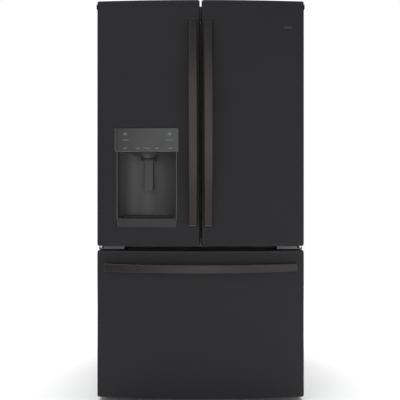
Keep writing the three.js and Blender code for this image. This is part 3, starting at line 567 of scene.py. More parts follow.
FINISHES = {
    "slate": slate_paint,
    "case": case_paint,
    "cap": lambda: moulded("end_cap", shade(tuple(colours().slate), 0.9), 0.44, 0.3),
    "handle": lambda: brushed("handle_metal", tuple(colours().handle), 0.34, "Z", 0.85),
    "drawer_handle": lambda: brushed("drawer_handle_metal", tuple(colours().handle), 0.34, "X", 0.85),
    # Lighter metal for the handles' end bands: a painted highlight.
    "handle_end_highlight": lambda: brushed("handle_end_painted_highlight", (0.085, 0.080, 0.076), 0.26, "Y", 0.9),
    # Darker metal for the top band of the door handles: painted shade.
    "handle_top_shade": lambda: brushed("handle_top_painted_shade", (0.020, 0.018, 0.017), 0.5, "Y", 0.5),
    "bracket": lambda: brushed("bracket_steel", (0.13, 0.13, 0.135), 0.46, "X", 0.6),
    "hinge": lambda: brushed("hinge_steel", (0.05, 0.05, 0.052), 0.5, "Y", 0.5),
    "rail": lambda: moulded("centre_rail_paint", (0.45, 0.45, 0.46), 0.5, 0.3),
    "zinc": lambda: brushed("zinc_steel", (0.50, 0.50, 0.51), 0.36, "X", 1.0, 0.00003),
    "polished": lambda: brushed("polished_steel", (0.66, 0.66, 0.67), 0.2, "Z", 1.0, 0.00001),
    "copper": lambda: brushed("copper_tube", (0.62, 0.30, 0.18), 0.3, "Y", 1.0),
    "brass": lambda: brushed("brass_fitting", (0.62, 0.46, 0.20), 0.3, "Y", 1.0),
    "galvanised": galvanised,
    "liner": lambda: moulded("liner_plastic", tuple(colours().liner), 0.36, 0.4, 180, 0.00003, 0.012,
                             wave=0.03),
    "shelf_trim": lambda: moulded("shelf_trim", (0.62, 0.64, 0.65), 0.34, 0.5, 200, 0.00005, 0.03),
    "clear": clear_plastic,
    "frosted": frosted_plastic,
    "glass": shelf_glass,
    "gasket": gasket_rubber,
    "flap": lambda: moulded("flap_plastic", (0.20, 0.20, 0.208), 0.5, 0.4),
    "panel": lambda: moulded("panel_gloss", tuple(colours().panel), 0.17, 0.45, 120, 0.00001, 0.04, 0.3,
                             0.05),
    "well": lambda: moulded("dispenser_plastic", tuple(colours().dispenser), 0.40, 0.45),
    "sill": lambda: moulded("bezel_plastic", shade(tuple(colours().dispenser), 0.42), 0.42, 0.35),
    # A lighter grey for thin strips along edges: a painted highlight.
    "edge_highlight": lambda: moulded("painted_edge_highlight", (0.19, 0.19, 0.193), 0.28, 0.5),
    "paddle": lambda: moulded("paddle_plastic", (0.070, 0.070, 0.072), 0.42, 0.40),
    "black": lambda: moulded("black_plastic", (0.012, 0.012, 0.013), 0.48, 0.4, 220, 0.00008, 0.12),
    "grille": lambda: moulded("drip_grille", (0.016, 0.016, 0.017), 0.42, 0.35, 220, 0.00006, 0.10),
    "compressor": lambda: moulded("compressor_paint", (0.011, 0.011, 0.013), 0.32, 0.5, 120, 0.0001, 0.1,
                                  0.3),
    "foam": lambda: moulded("insulating_foam", (0.66, 0.58, 0.36), 0.85, 0.2, 90, 0.0006, 0.12),
    "mark": lambda: moulded("panel_mark", (0.34, 0.35, 0.36), 0.5, 0.3),
    "nameplate": lambda: brushed("nameplate_metal", (0.055, 0.055, 0.056), 0.34, "X", 1.0),
    "filter": lambda: moulded("filter_plastic", (0.72, 0.75, 0.78), 0.3),
    "lamp": lamp_lens,
    "fins": finned,
}
_made = {}


def finish_of(name):
    """The named material, made once."""
    if name not in _made:
        _made[name] = FINISHES[name]().material
    return _made[name]


# ------------------------------------------------------------------ doors
KNEE = CASE[0].y - 0.098  # the hinge plates turn in notches behind this line
NOTCH_Z = LEFT_DOOR[1].z - 0.016  # the notches' floor
NOTCH_X = 0.380  # the notches' inner side, from the middle
CORNER_STEPS = 7  # points round a door's upright corner
VALVE_PLATE = 0.004  # how far the water valve's plate stands out from the back panel


def outline(x0, x1, inset, side, back, stops):
    """Points in plan from a door's back left corner, round its curved front, to its back right."""
    a, b = x0 + side, x1 - side
    r = max(shape().corner - inset, 0.0008)
    left = front_y(a + r, -inset)
    right = front_y(b - r, -inset)
    points = [(a, back), (a, KNEE)]
    for k in range(CORNER_STEPS):
        t = math.pi / 2 * k / (CORNER_STEPS - 1)
        points.append((a + r - r * math.cos(t), left + r - r * math.sin(t)))
    full = shape().corner
    spread = (b - a - 2 * r) / (x1 - x0 - 2 * full)
    moved = [a + r + (x - x0 - full) * spread for x in stops]
    points += [(x, front_y(x, -inset)) for x in moved]
    for k in range(CORNER_STEPS):
        t = math.pi / 2 * (1 - k / (CORNER_STEPS - 1))
        points.append((b - r + r * math.cos(t), right + r - r * math.sin(t)))
    return points + [(b, KNEE), (b, back)]


def door_levels(z0, z1, extra=()):
    """(z, front inset, side inset, trim) rows up a door: its edges, end cap seams and any others."""
    s = shape()
    e, round_off, cap = s.edge, s.round_off, s.cap

    def arc(h, r):
        return r - math.sqrt(max(0, r * r - (r - min(h, r)) ** 2))

    heights = [0, 0.0003, 0.0008, 0.0016, e, 0.0045, cap]
    low = [(z0 + h, arc(h, e), arc(h, round_off), 1) for h in heights]
    low += [(z0 + cap + h, d, max(d, arc(cap + h, round_off)), t) for h, d, t in
            ((0.0003, 0.0015, 2), (0.0034, 0.0015, 0), (0.0037, 0, 0), (0.012, 0, 0))]
    high = [(z0 + z1 - z, i, j, t) for z, i, j, t in reversed(low)]
    middle = [(z0 + (z1 - z0) * k / 8, 0, 0, 0) for k in range(1, 8)]
    middle = [m for m in middle if all(abs(m[0] - z) > 0.02 for z in extra)]
    middle += [(z, 0, 0, 0) for z in extra]
    return low + sorted(middle) + high


def door_shell(name, box, body, node, hole=None, notch=0):
    """A door's painted skin: curved front, returned sides and end caps, open at the back.

    A notch of -1 or 1 leaves room for a hinge plate at the top of that side.
    """
    (x0, back), (x1, z0, z1) = (box[0].x, box[1].y), (box[1].x, box[0].z, box[1].z)
    r = shape().corner
    n = shape().front_steps
    stops = [x0 + r + (x1 - x0 - 2 * r) * k / n for k in range(1, n)]
    edges = sorted({v for x, _ in hole for v in x}) if hole else []
    if hole:
        stops = sorted([s for s in stops if all(abs(s - e) > 0.004 for e in edges)] + edges)
    extra = sorted({v for _, z in hole for v in z}) if hole else []
    levels = door_levels(z0, z1, extra + ([NOTCH_Z] if notch else []))
    bm = bmesh.new()
    rows = [[bm.verts.new((x, y, z)) for x, y in outline(x0, x1, inset, side, back, stops)]
            for z, inset, side, _ in levels]
    for k in range(len(rows) - 1):
        a, b = rows[k], rows[k + 1]
        trim = max(levels[k][3], levels[k + 1][3])
        mid_z = (levels[k][0] + levels[k + 1][0]) / 2
        for i in range(len(a) - 1):
            mid_x = (a[i].co.x + a[i + 1].co.x) / 2
            front = CORNER_STEPS + 1 <= i <= len(a) - CORNER_STEPS - 3
            if notch and mid_z > NOTCH_Z and i == (0 if notch < 0 else len(a) - 2):
                continue
            if hole and front and any(x[0] < mid_x < x[1] and z[0] < mid_z < z[1] for x, z in hole):
                continue
            bm.faces.new((a[i], a[i + 1], b[i + 1], b[i])).material_index = trim
    bm.faces.new(list(reversed(rows[0]))).material_index = 1
    top = rows[-1]
    if notch:
        step = [bm.verts.new((notch * NOTCH_X, y, z1)) for y in (KNEE, back)]
        top = step + top[:-1] if notch > 0 else top[1:] + list(reversed(step))
    bm.faces.new(top).material_index = 1
    bmesh.ops.delete(bm, geom=[v for v in bm.verts if not v.link_faces], context="VERTS")
    piece(name, bm, body, ("slate", "cap", "black"), (node,), sharp=28, thicken=0.002)


def hinge_pocket(side, body):
    """The lining of a door's hinge notch, its bush, and the skirts of the door's end caps."""
    top, back = LEFT_DOOR[1].z, LEFT_DOOR[1].y
    floor = (NOTCH_Z - 0.0025, NOTCH_Z - 0.0002)
    bm = bmesh.new()

    def slab(x, y, z, radius=0.0005):
        x = sorted(side * v for v in x)
        block(bm, (x[0], y[0], z[0]), (x[1], y[1], z[1]), radius)

    outer = RIGHT_DOOR[1].x
    slab((NOTCH_X - 0.001, outer - 0.0005), (KNEE - 0.001, back - 0.001), floor)
    slab((NOTCH_X - 0.001, outer - 0.0005), (KNEE - 0.0025, KNEE - 0.0002), (floor[0], top - 0.0015))
    slab((NOTCH_X - 0.002, NOTCH_X), (KNEE - 0.001, back - 0.001), (floor[0], top - 0.0015))
    z = floor[1]
    lathe(bm, [(0.0058, z - 0.001), (0.009, z - 0.001), (0.009, z + 0.0014), (0.0085, z + 0.0019),
               (0.0058, z + 0.0019), (0.0058, z - 0.001)],
          (side * DOOR_PIN.x, DOOR_PIN.y, 0), sides=28, finish=1)
    slab((outer - 0.0005, outer + 0.0017), (DOOR_PIN.y - 0.040, DOOR_PIN.y + 0.054),
         (top - 0.036, NOTCH_Z - 0.0012), 0.0009)
    piece(f"end_cap_details_{body}", bm, body, ("cap", "black"))


class FRIDGE_OT_doors(Operator):
    """Build the painted skins of the two doors and the freezer drawer"""

    bl_idname = "fridge.doors"
    bl_label = "Door and Drawer Skins"

    def execute(self, context):
        gap = 0.0005
        hole = [((BEZEL[0].x - gap, BEZEL[1].x + gap), (BEZEL[0].z - gap, PANEL[0].z)),
                ((PANEL[0].x - gap, PANEL[1].x + gap), (PANEL[0].z - gap, PANEL[1].z + gap))]
        door_shell("left_door_front", LEFT_DOOR, "left_door", "left_door_skin", hole, -1)
        door_shell("right_door_front", RIGHT_DOOR, "right_door", "right_door_skin", notch=1)
        door_shell("freezer_drawer_front", DRAWER, "freezer_drawer", "drawer_skin")
        hinge_pocket(-1, "left_door")
        hinge_pocket(1, "right_door")
        return {"FINISHED"}


# ------------------------------------------------------------------ handles
def bowed_handle(bm, node, along, base, caps=((0.0056, 1), (0.0056, 1))):
    """A bar that bows away from the door, widest in the middle, on solid feet at its ends.

    Each cap is its length and finish, first at the low end and then at the high end. The caps' finishes
    give the bar's ends a painted highlight or painted shade.
    """
    low, high = corners(node)
    k = 0 if along == "X" else 2
    across = 2 - k
    half = (high[k] - low[k]) / 2
    mid = [(low[i] + high[i]) / 2 for i in range(3)]
    wide = (high[across] - low[across]) / 2
    narrow = wide * 35 / 38
    front, thick, foot = low.y, 0.018, 0.030
    end_front = base(half) - 0.020

    def arc(s, reach, edge, middle):
        rise = edge - middle
        radius = (reach * reach + rise * rise) / (2 * rise)
        return middle + radius - math.sqrt(radius * radius - s * s)

    def section(s, inset):
        s = max(-half, min(half, s))
        y0 = arc(s, half, end_front, front) + inset
        y1 = (arc(s, half - foot, base(half - foot), front + thick) if abs(s) < half - foot
              else base(abs(s))) - inset * 0.4
        w = narrow + (wide - narrow) * (1 - (s / half) ** 2) - inset
        soft = min(0.0040, (y1 - y0) * 0.42)
        ring = []
        for sx, sy, r in ((1, 0, 0.0030), (-1, 0, 0.0030), (-1, 1, soft), (1, 1, soft)):
            cx = sx * (w - r)
            cy = (y0 + r) if sy else (y1 - r)
            start = {(1, 0): 0, (-1, 0): 1, (-1, 1): 2, (1, 1): 3}[(sx, sy)]
            for i in range(6):
                t = math.pi / 2 * (start + i / 5)
                ring.append((cx + r * math.cos(t), cy + r * math.sin(t)))
        return ring

    def put(s, ring):
        out = []
        for w, y in ring:
            p = [0, y, 0]
            p[k] = mid[k] + s
            p[across] = mid[across] + w
            out.append(Vector(p))
        return out

    n = 44
    stations = [(-half + 2 * half * i / n, 0) for i in range(1, n)]
    stations = [s for s in stations if abs(s[0]) < half - 0.012]
    tail = [(half - 0.0096, 0), (half - 0.0085, 0), (half - 0.0062, 0), (half - 0.0058, 0.0007),
            (half - 0.0050, 0.0007), (half - 0.0046, 0), (half - 0.0018, 0), (half - 0.0005, 0.0007),
            (half, 0.0019)]
    rows = [(-s, i) for s, i in reversed(tail)] + stations + tail
    made = [put(s, section(s, inset)) for s, inset in rows]
    loft(bm, made)
    bm.faces.ensure_lookup_table()
    for f in bm.faces:
        s = f.calc_center_median()[k] - mid[k]
        length, finish = caps[s > 0]
        if abs(s) > half - length:
            f.material_index = finish


class FRIDGE_OT_handles(Operator):
    """Build the two bowed door handles and the bowed drawer handle"""

    bl_idname = "fridge.handles"
    bl_label = "Bowed Handles"

    def execute(self, context):
        for side in ("left", "right"):
            node = f"{side}_door_handle"
            low, high = corners(node)
            near = min(abs(low.x), abs(high.x))
            bm = bmesh.new()
            # Low end band: lighter metal, a painted highlight; high end band: darker metal, painted shade.
            bowed_handle(bm, node, "Z", lambda s, near=near: front_y(near) - 0.0003,
                         ((0.0056, 1), (0.0095, 2)))
            piece(f"{side}_door_bow", bm, f"{side}_door", ("handle", "handle_end_highlight", "handle_top_shade"), (node,))
        bm = bmesh.new()
        # Both end bands: lighter metal, a painted highlight.
        bowed_handle(bm, "drawer_handle", "X", lambda s: front_y(s) - 0.0003)
        piece("drawer_bow", bm, "freezer_drawer", ("drawer_handle", "handle_end_highlight"), ("drawer_handle",))
        return {"FINISHED"}


# ------------------------------------------------------------------ dispenser
class FRIDGE_OT_dispenser(Operator):
    """Build the dispenser: control panel, bezel, curved recess, spout, paddle and drip tray"""

    bl_idname = "fridge.dispenser"
    bl_label = "Ice and Water Dispenser"

    def execute(self, context):
        x0, x1 = PANEL[0].x, PANEL[1].x
        bm = bmesh.new()
        arched_plate(bm, (x0, x1), (PANEL[0].z, PANEL[1].z), 0.0025, 0.022, 0.0016, 20)
        piece("control_panel", bm, "left_door", ("panel",), ("dispenser_panel",))
        self.trim(x0, x1)
        self.marks()
        self.bezel()
        self.well()
        self.spout()
        self.paddle()
        self.tray()
        return {"FINISHED"}

    def trim(self, x0, x1):
        """The painted highlights along the control panel's left and lower edges, and the dark line along
        its top.
        """
        bm = bmesh.new()
        z0, z1 = PANEL[0].z, PANEL[1].z
        # Lighter strips on the left and lower edges are a painted highlight; the top strip is a dark line.
        arched_plate(bm, (x0 - 0.0004, x0 + 0.0014), (z0 + 0.001, z1 - 0.001), 0.0031, 0.01, 0.0006, 2)
        arched_plate(bm, (x0 + 0.001, x1 - 0.001), (z0 - 0.0003, z0 + 0.0012), 0.0029, 0.01, 0.0005, 20)
        arched_plate(bm, (x0 + 0.001, x1 - 0.001), (z1 - 0.0012, z1 + 0.0003), 0.0029, 0.01, 0.0005, 20,
                     1)
        piece("panel_highlight_and_dark_lines", bm, "left_door", ("edge_highlight", "black"))

    def marks(self):
        """Plain strokes that stand for the keys' signs."""
        bm = bmesh.new()
        x0, width = PANEL[0].x, PANEL[1].x - PANEL[0].x
        z1, height = PANEL[1].z, PANEL[1].z - PANEL[0].z

        def spot(u, v):
            return x0 + u * width, z1 - v * height

        def bar(cx, cz, w, h):
            arched_plate(bm, (cx - w / 2, cx + w / 2), (cz - h / 2, cz + h / 2), 0.0028, 0.001,
                         0.0002, 2)

        for u in (0.17, 0.86):
            x, z = spot(u, 0.51)
            bar(x, z, 0.0240 if u < 0.5 else 0.0340, 0.0018)
        for u, w in ((0.16, 0.0150), (0.36, 0.0150), (0.505, 0.0210), (0.655, 0.0170), (0.87, 0.0150)):
            x, z = spot(u, 0.86)
            bar(x, z, w, 0.0019)
        x, z = spot(0.16, 0.24)  # three short lines, for crushed ice
        for k in (-1, 0, 1):
            bar(x + k * 0.0052, z + abs(k) * -0.0016, 0.0024, 0.0096)
        x, z = spot(0.855, 0.24)  # a small glass
        bar(x - 0.0052, z, 0.0016, 0.0115)
        bar(x + 0.0052, z, 0.0016, 0.0115)
        bar(x, z - 0.0056, 0.0120, 0.0016)
        bar(x, z + 0.0006, 0.0088, 0.0014)
        piece("panel_marks", bm, "left_door", ("mark",), sharp=60)

    def bezel(self):
        """The frame round the recess, with its deep sill and painted highlights up its inner edges."""
        x0, x1, z0, z1 = BEZEL[0].x, BEZEL[1].x, BEZEL[0].z, BEZEL[1].z
        wall, out, thick = 0.0055, 0.0015, 0.026
        sill = WELL[0].z + 0.003
        bm = bmesh.new()
        arched_plate(bm, (x0, x1), (z0, sill), out, thick, 0.0012, 18)
        arched_plate(bm, (x0, x0 + wall), (z0, z1), out, thick, 0.0012, 2)
        arched_plate(bm, (x1 - wall, x1), (z0, z1), out, thick, 0.0012, 2)
        # Thin lighter strips up the inner edges: a painted highlight.
        arched_plate(bm, (x0 + 0.0004, x0 + 0.0018), (sill - 0.004, z1 - 0.0005), out + 0.0006, 0.004,
                     0.0005, 2, 1)
        arched_plate(bm, (x1 - 0.0018, x1 - 0.0004), (sill - 0.004, z1 - 0.0005), out + 0.0006, 0.004,
                     0.0005, 2, 1)
        piece("recess_bezel", bm, "left_door", ("sill", "edge_highlight"), ("dispenser_bezel",))

    def well(self):
        """The curved recess that a glass stands in."""
        cx = (WELL[0].x + WELL[1].x) / 2
        half = 0.1265
        start = WELL[0].y - 0.001
        front = front_y(cx) + 0.002
        straight, deep = 0.035, 0.128
        z0, z1 = WELL[0].z + 0.003, BEZEL[1].z - 0.0006

        def plan(grow):
            h, d = half + grow, deep - straight + grow
            points = [(cx - h, start), (cx - h, (start + front + straight) / 2)]
            for k in range(41):
                t = math.pi * (1 - k / 40)
                points.append((cx + h * math.cos(t), front + straight + d * math.sin(t)))
            return points + [(cx + h, (start + front + straight) / 2), (cx + h, start)]

        bm = bmesh.new()
        r = 0.009
        rows = [(-r, 0.0)] + [(-r * (1 - math.sin(t)), r * (1 - math.cos(t))) for t in
                              (math.pi / 2 * k / 4 for k in range(1, 5))]
        rings = [[(x, y, z0 + dz) for x, y in plan(g)] for g, dz in rows]
        rings += [[(x, y, z0 + (z1 - z0) * t) for x, y in plan(0)] for t in (0.25, 0.5, 0.75)]
        rings += [[(x, y, z1 - dz) for x, y in plan(g)] for g, dz in reversed(rows)]
        loft(bm, rings, closed=False, caps=(True, True))
        made = piece("dispenser_recess", bm, "left_door", ("well",), ("dispenser_well",),
                     sharp=50, weighted=False)
        made.modifiers.new("Wall", "SOLIDIFY").thickness = -0.003
        self.ears()

    def ears(self):
        """The two ears that carry the paddle's rod."""
        low, high = corners("dispenser_paddle")
        bm = bmesh.new()
        for side in (-1, 1):
            x = (low.x + high.x) / 2 + side * 0.0305
            block(bm, (x - 0.003, PADDLE_PIN.y - 0.006, high.z - 0.012),
                  (x + 0.003, PADDLE_PIN.y + 0.014, high.z + 0.002), 0.0015)
        piece("paddle_ears", bm, "left_door", ("black",))

    def spout(self):
        """The ice spout under its chute, the water tube and the recess lamp."""
        low, high = corners("dispenser_nozzle")
        cx, cy = (low.x + high.x) / 2, low.y + 0.055
        z = low.z
        top = BEZEL[1].z - 0.001
        bm = bmesh.new()
        lathe(bm, [(0.0205, z + 0.004), (0.0212, z), (0.0245, z), (0.0258, z + 0.0014),
                   (0.0300, z + 0.0080), (0.0375, z + 0.0170), (0.0405, top - 0.0062),
                   (0.0530, top - 0.0046), (0.0550, top - 0.003), (0.0550, top), (0.034, top),
                   (0.034, z + 0.030), (0.0205, z + 0.004)], (cx, cy, 0), sides=56)
        lathe(bm, [(0.0178, z + 0.006), (0.0178, z + 0.001), (0.0188, z - 0.0002), (0.0202, z - 0.0002),
                   (0.0205, z + 0.004), (0.0205, z + 0.05), (0.0178, z + 0.05), (0.0178, z + 0.006)],
              (cx, cy, 0), sides=56, finish=1)
        block(bm, (cx - 0.044, low.y + 0.020, z + 0.078), (cx + 0.044, low.y + 0.133, z + 0.1345), 0.003)
        piece("ice_spout", bm, "left_door", ("paddle", "sill"), ("dispenser_nozzle",))
        bm = bmesh.new()
        pipe(bm, curve_points([(cx + 0.012, cy + 0.030, z + 0.02), (cx + 0.012, cy + 0.030, z + 0.004),
                               (cx + 0.012, cy + 0.029, z - 0.004)]), 0.0032, 14)
        lathe(bm, [(0, z + 0.0112), (0.0042, z + 0.0112), (0.0046, z + 0.0118), (0.0046, z + 0.02),
                   (0, z + 0.02)], (cx - 0.060, cy - 0.020, 0.006), sides=24, finish=1)
        piece("water_tube_and_lamp", bm, "left_door", ("sill", "panel"))

    def paddle(self):
        """The dished lever that a glass is pushed against, on its rod."""
        low, high = corners("dispenser_paddle")
        cx = (low.x + high.x) / 2
        top, tip = high.z, low.z
        bm = bmesh.new()
        rows = []
        for t in [k / 24 for k in range(24)] + [0.975, 0.985, 0.993, 0.998, 1]:
            z = top + (tip - top) * t
            y = PADDLE_PIN.y - 0.0005 + 0.0015 * math.sin(min(t * 2.5, 1) * math.pi)
            y -= 0.0125 * max(0, t - 0.38) / 0.62
            w = 0.0195 + 0.0005 * math.sin(math.pi * t)
            if t > 0.975:
                w -= 0.003 * (1 - math.sqrt(max(0, 1 - ((t - 0.975) / 0.025) ** 2)))
            if t < 0.05:
                w -= 0.003 * (1 - t / 0.05)
            ring = []
            for px, py in round_rect(2 * w, 0.0056, 0.0022, 4):
                dish = 0.0016 * (1 - (px / 0.02) ** 2) if py < 0 else 0
                ring.append((cx + px, y + py + dish, z))
            rows.append(ring)
        loft(bm, rows)
        lathe(bm, [(0, -0.032), (0.0034, -0.032), (0.0040, -0.0314), (0.0040, 0.0314), (0.0034, 0.032),
                   (0, 0.032)], (cx, PADDLE_PIN.y, PADDLE_PIN.z), "X", 24)
        piece("paddle_lever", bm, "paddle", ("paddle",), ("dispenser_paddle",))

    def tray(self):
        """The drip tray with a bowed front and a slatted top."""
        low, high = corners("drip_tray")
        cx, half = (low.x + high.x) / 2, (high.x - low.x) / 2
        y0, deep = low.y, high.y - low.y
        bm = bmesh.new()

        def plan(grow, z):
            points = [(cx - half - grow + 0.004, y0 - grow, z), (cx + half + grow - 0.004, y0 - grow, z)]
            for k in range(33):
                t = math.pi * k / 32
                points.append((cx + (half + grow) * math.cos(t), y0 + 0.002 + (deep - 0.002 + grow)
                               * math.sin(t) ** 0.9, z))
            return points

        z0, z1 = low.z, high.z
        loft(bm, [plan(-0.002, z0), plan(-0.0005, z0 + 0.001), plan(0, z1 - 0.0015), plan(-0.0006, z1),
                  plan(-0.0040, z1), plan(-0.0046, z1 - 0.0010), plan(-0.0052, z1 - 0.0040),
                  plan(-0.0064, z1 - 0.0044)])
        for k in range(15):
            x = cx + (k - 7) * 0.0122
            reach = (deep - 0.009) * math.sqrt(max(0, 1 - ((x - cx) / (half - 0.004)) ** 2)) ** 0.9
            if reach > 0.008:
                block(bm, (x - 0.0028, y0 + 0.0050, z1 - 0.0036), (x + 0.0028, y0 + reach, z1 - 0.0008),
                      0.0010, 2, 1)
        piece("drip_grille", bm, "tray", ("black", "grille"), ("drip_tray",))


# ------------------------------------------------------------------ seals and liners
class FRIDGE_OT_seals(Operator):
    """Build the bellows gaskets and dress the liners that carry them"""

    bl_idname = "fridge.seals"
    bl_label = "Gaskets and Liners"

    def execute(self, context):
        self.bellows("left_door_gasket", "left_door")
        self.bellows("right_door_gasket", "right_door")
        self.bellows("drawer_gasket", "freezer_drawer")
        dress("left_door_liner", "liner", 0.0045, 4, merge=False)
        dress("right_door_liner", "liner", 0.0045, 4)
        dress("drawer_liner", "liner", 0.0045, 4)
        dress("mullion_flap", "flap", 0.0025, 3)
        self.facing()
        return {"FINISHED"}

    def bellows(self, node, body):
        """A gasket with a folded section, run round the door's edge."""
        low, high = corners(node)
        y0, y1 = low.y, high.y
        d = y1 - y0
        profile = [(0, y0), (0, y0 + 0.18 * d), (-0.0022, y0 + 0.30 * d), (-0.0004, y0 + 0.44 * d),
                   (-0.0026, y0 + 0.58 * d), (-0.0010, y0 + 0.68 * d), (-0.0010, y0 + 0.93 * d),
                   (-0.0026, y1), (-0.0124, y1), (-0.0142, y0 + 0.93 * d), (-0.0142, y0 + 0.68 * d),
                   (-0.0124, y0 + 0.58 * d), (-0.0152, y0 + 0.40 * d), (-0.0132, y0 + 0.24 * d),
                   (-0.016, y0 + 0.12 * d), (-0.016, y0)]
        bm = bmesh.new()
        frame_ring(bm, profile, (low.x, high.x), (low.z, high.z))
        piece(f"{node}_bellows", bm, body, ("gasket",), (node,), sharp=50)

    def facing(self):
        """The flap's steel strip, its two pivots and its moulded lip."""
        low, high = corners("mullion_flap")
        bm = bmesh.new()
        mid = (low.x + high.x) / 2
        block(bm, (mid - 0.012, low.y - 0.0006, low.z + 0.02),
              (mid + 0.012, low.y + 0.001, high.z - 0.02), 0.0006, 2)
        for z in (high.z - 0.012, low.z + 0.012):
            block(bm, (mid - 0.010, low.y + 0.004, z - 0.008), (mid + 0.010, high.y + 0.0015, z + 0.008),
                  0.002, 3, 1)
        block(bm, (high.x - 0.004, low.y + 0.0002, low.z + 0.002),
              (0.0060, low.y + 0.0014, high.z - 0.002), 0.0004, 2, 1)
        piece("flap_facing", bm, "flap", ("zinc", "flap"))


# ------------------------------------------------------------------ interior
def shelf_pieces(node):
    """A glass shelf: its moulded rim, bright front edge, back stop and pane."""
    low, high = corners(node)
    rim = 0.010
    bm = bmesh.new()
    outer = [(0, low.z + 0.001), (0.0, high.z - 0.001), (-0.001, high.z), (-rim + 0.001, high.z),
             (-rim, high.z - 0.001), (-rim, low.z + 0.001), (-rim + 0.001, low.z), (-0.001, low.z)]
    rings = [[(cx + sx * o, cy + sy * o, z) for o, z in outer]
             for cx, sx, cy, sy in ((low.x, -1, low.y, -1), (high.x, 1, low.y, -1),
                                    (high.x, 1, high.y, 1), (low.x, -1, high.y, 1))]
    loft(bm, rings, looped=True)
    block(bm, (low.x + 0.004, low.y - 0.0030, low.z + 0.0012),
          (high.x - 0.004, low.y + 0.0020, high.z - 0.0012), 0.0014, 3, 1)
    block(bm, (low.x + 0.004, high.y - 0.006, high.z - 0.001), (high.x - 0.004, high.y, high.z + 0.010),
          0.002, 3)
    piece(f"{node}_frame", bm, "cabinet", ("shelf_trim", "polished"), (node,))
    bm = bmesh.new()
    block(bm, (low.x + rim - 0.002, low.y + rim - 0.002, high.z - 0.0060),
          (high.x - rim + 0.002, high.y - rim + 0.002, high.z - 0.0016), 0.0006, 2)
    piece(f"{node}_pane", bm, "cabinet", ("glass",))


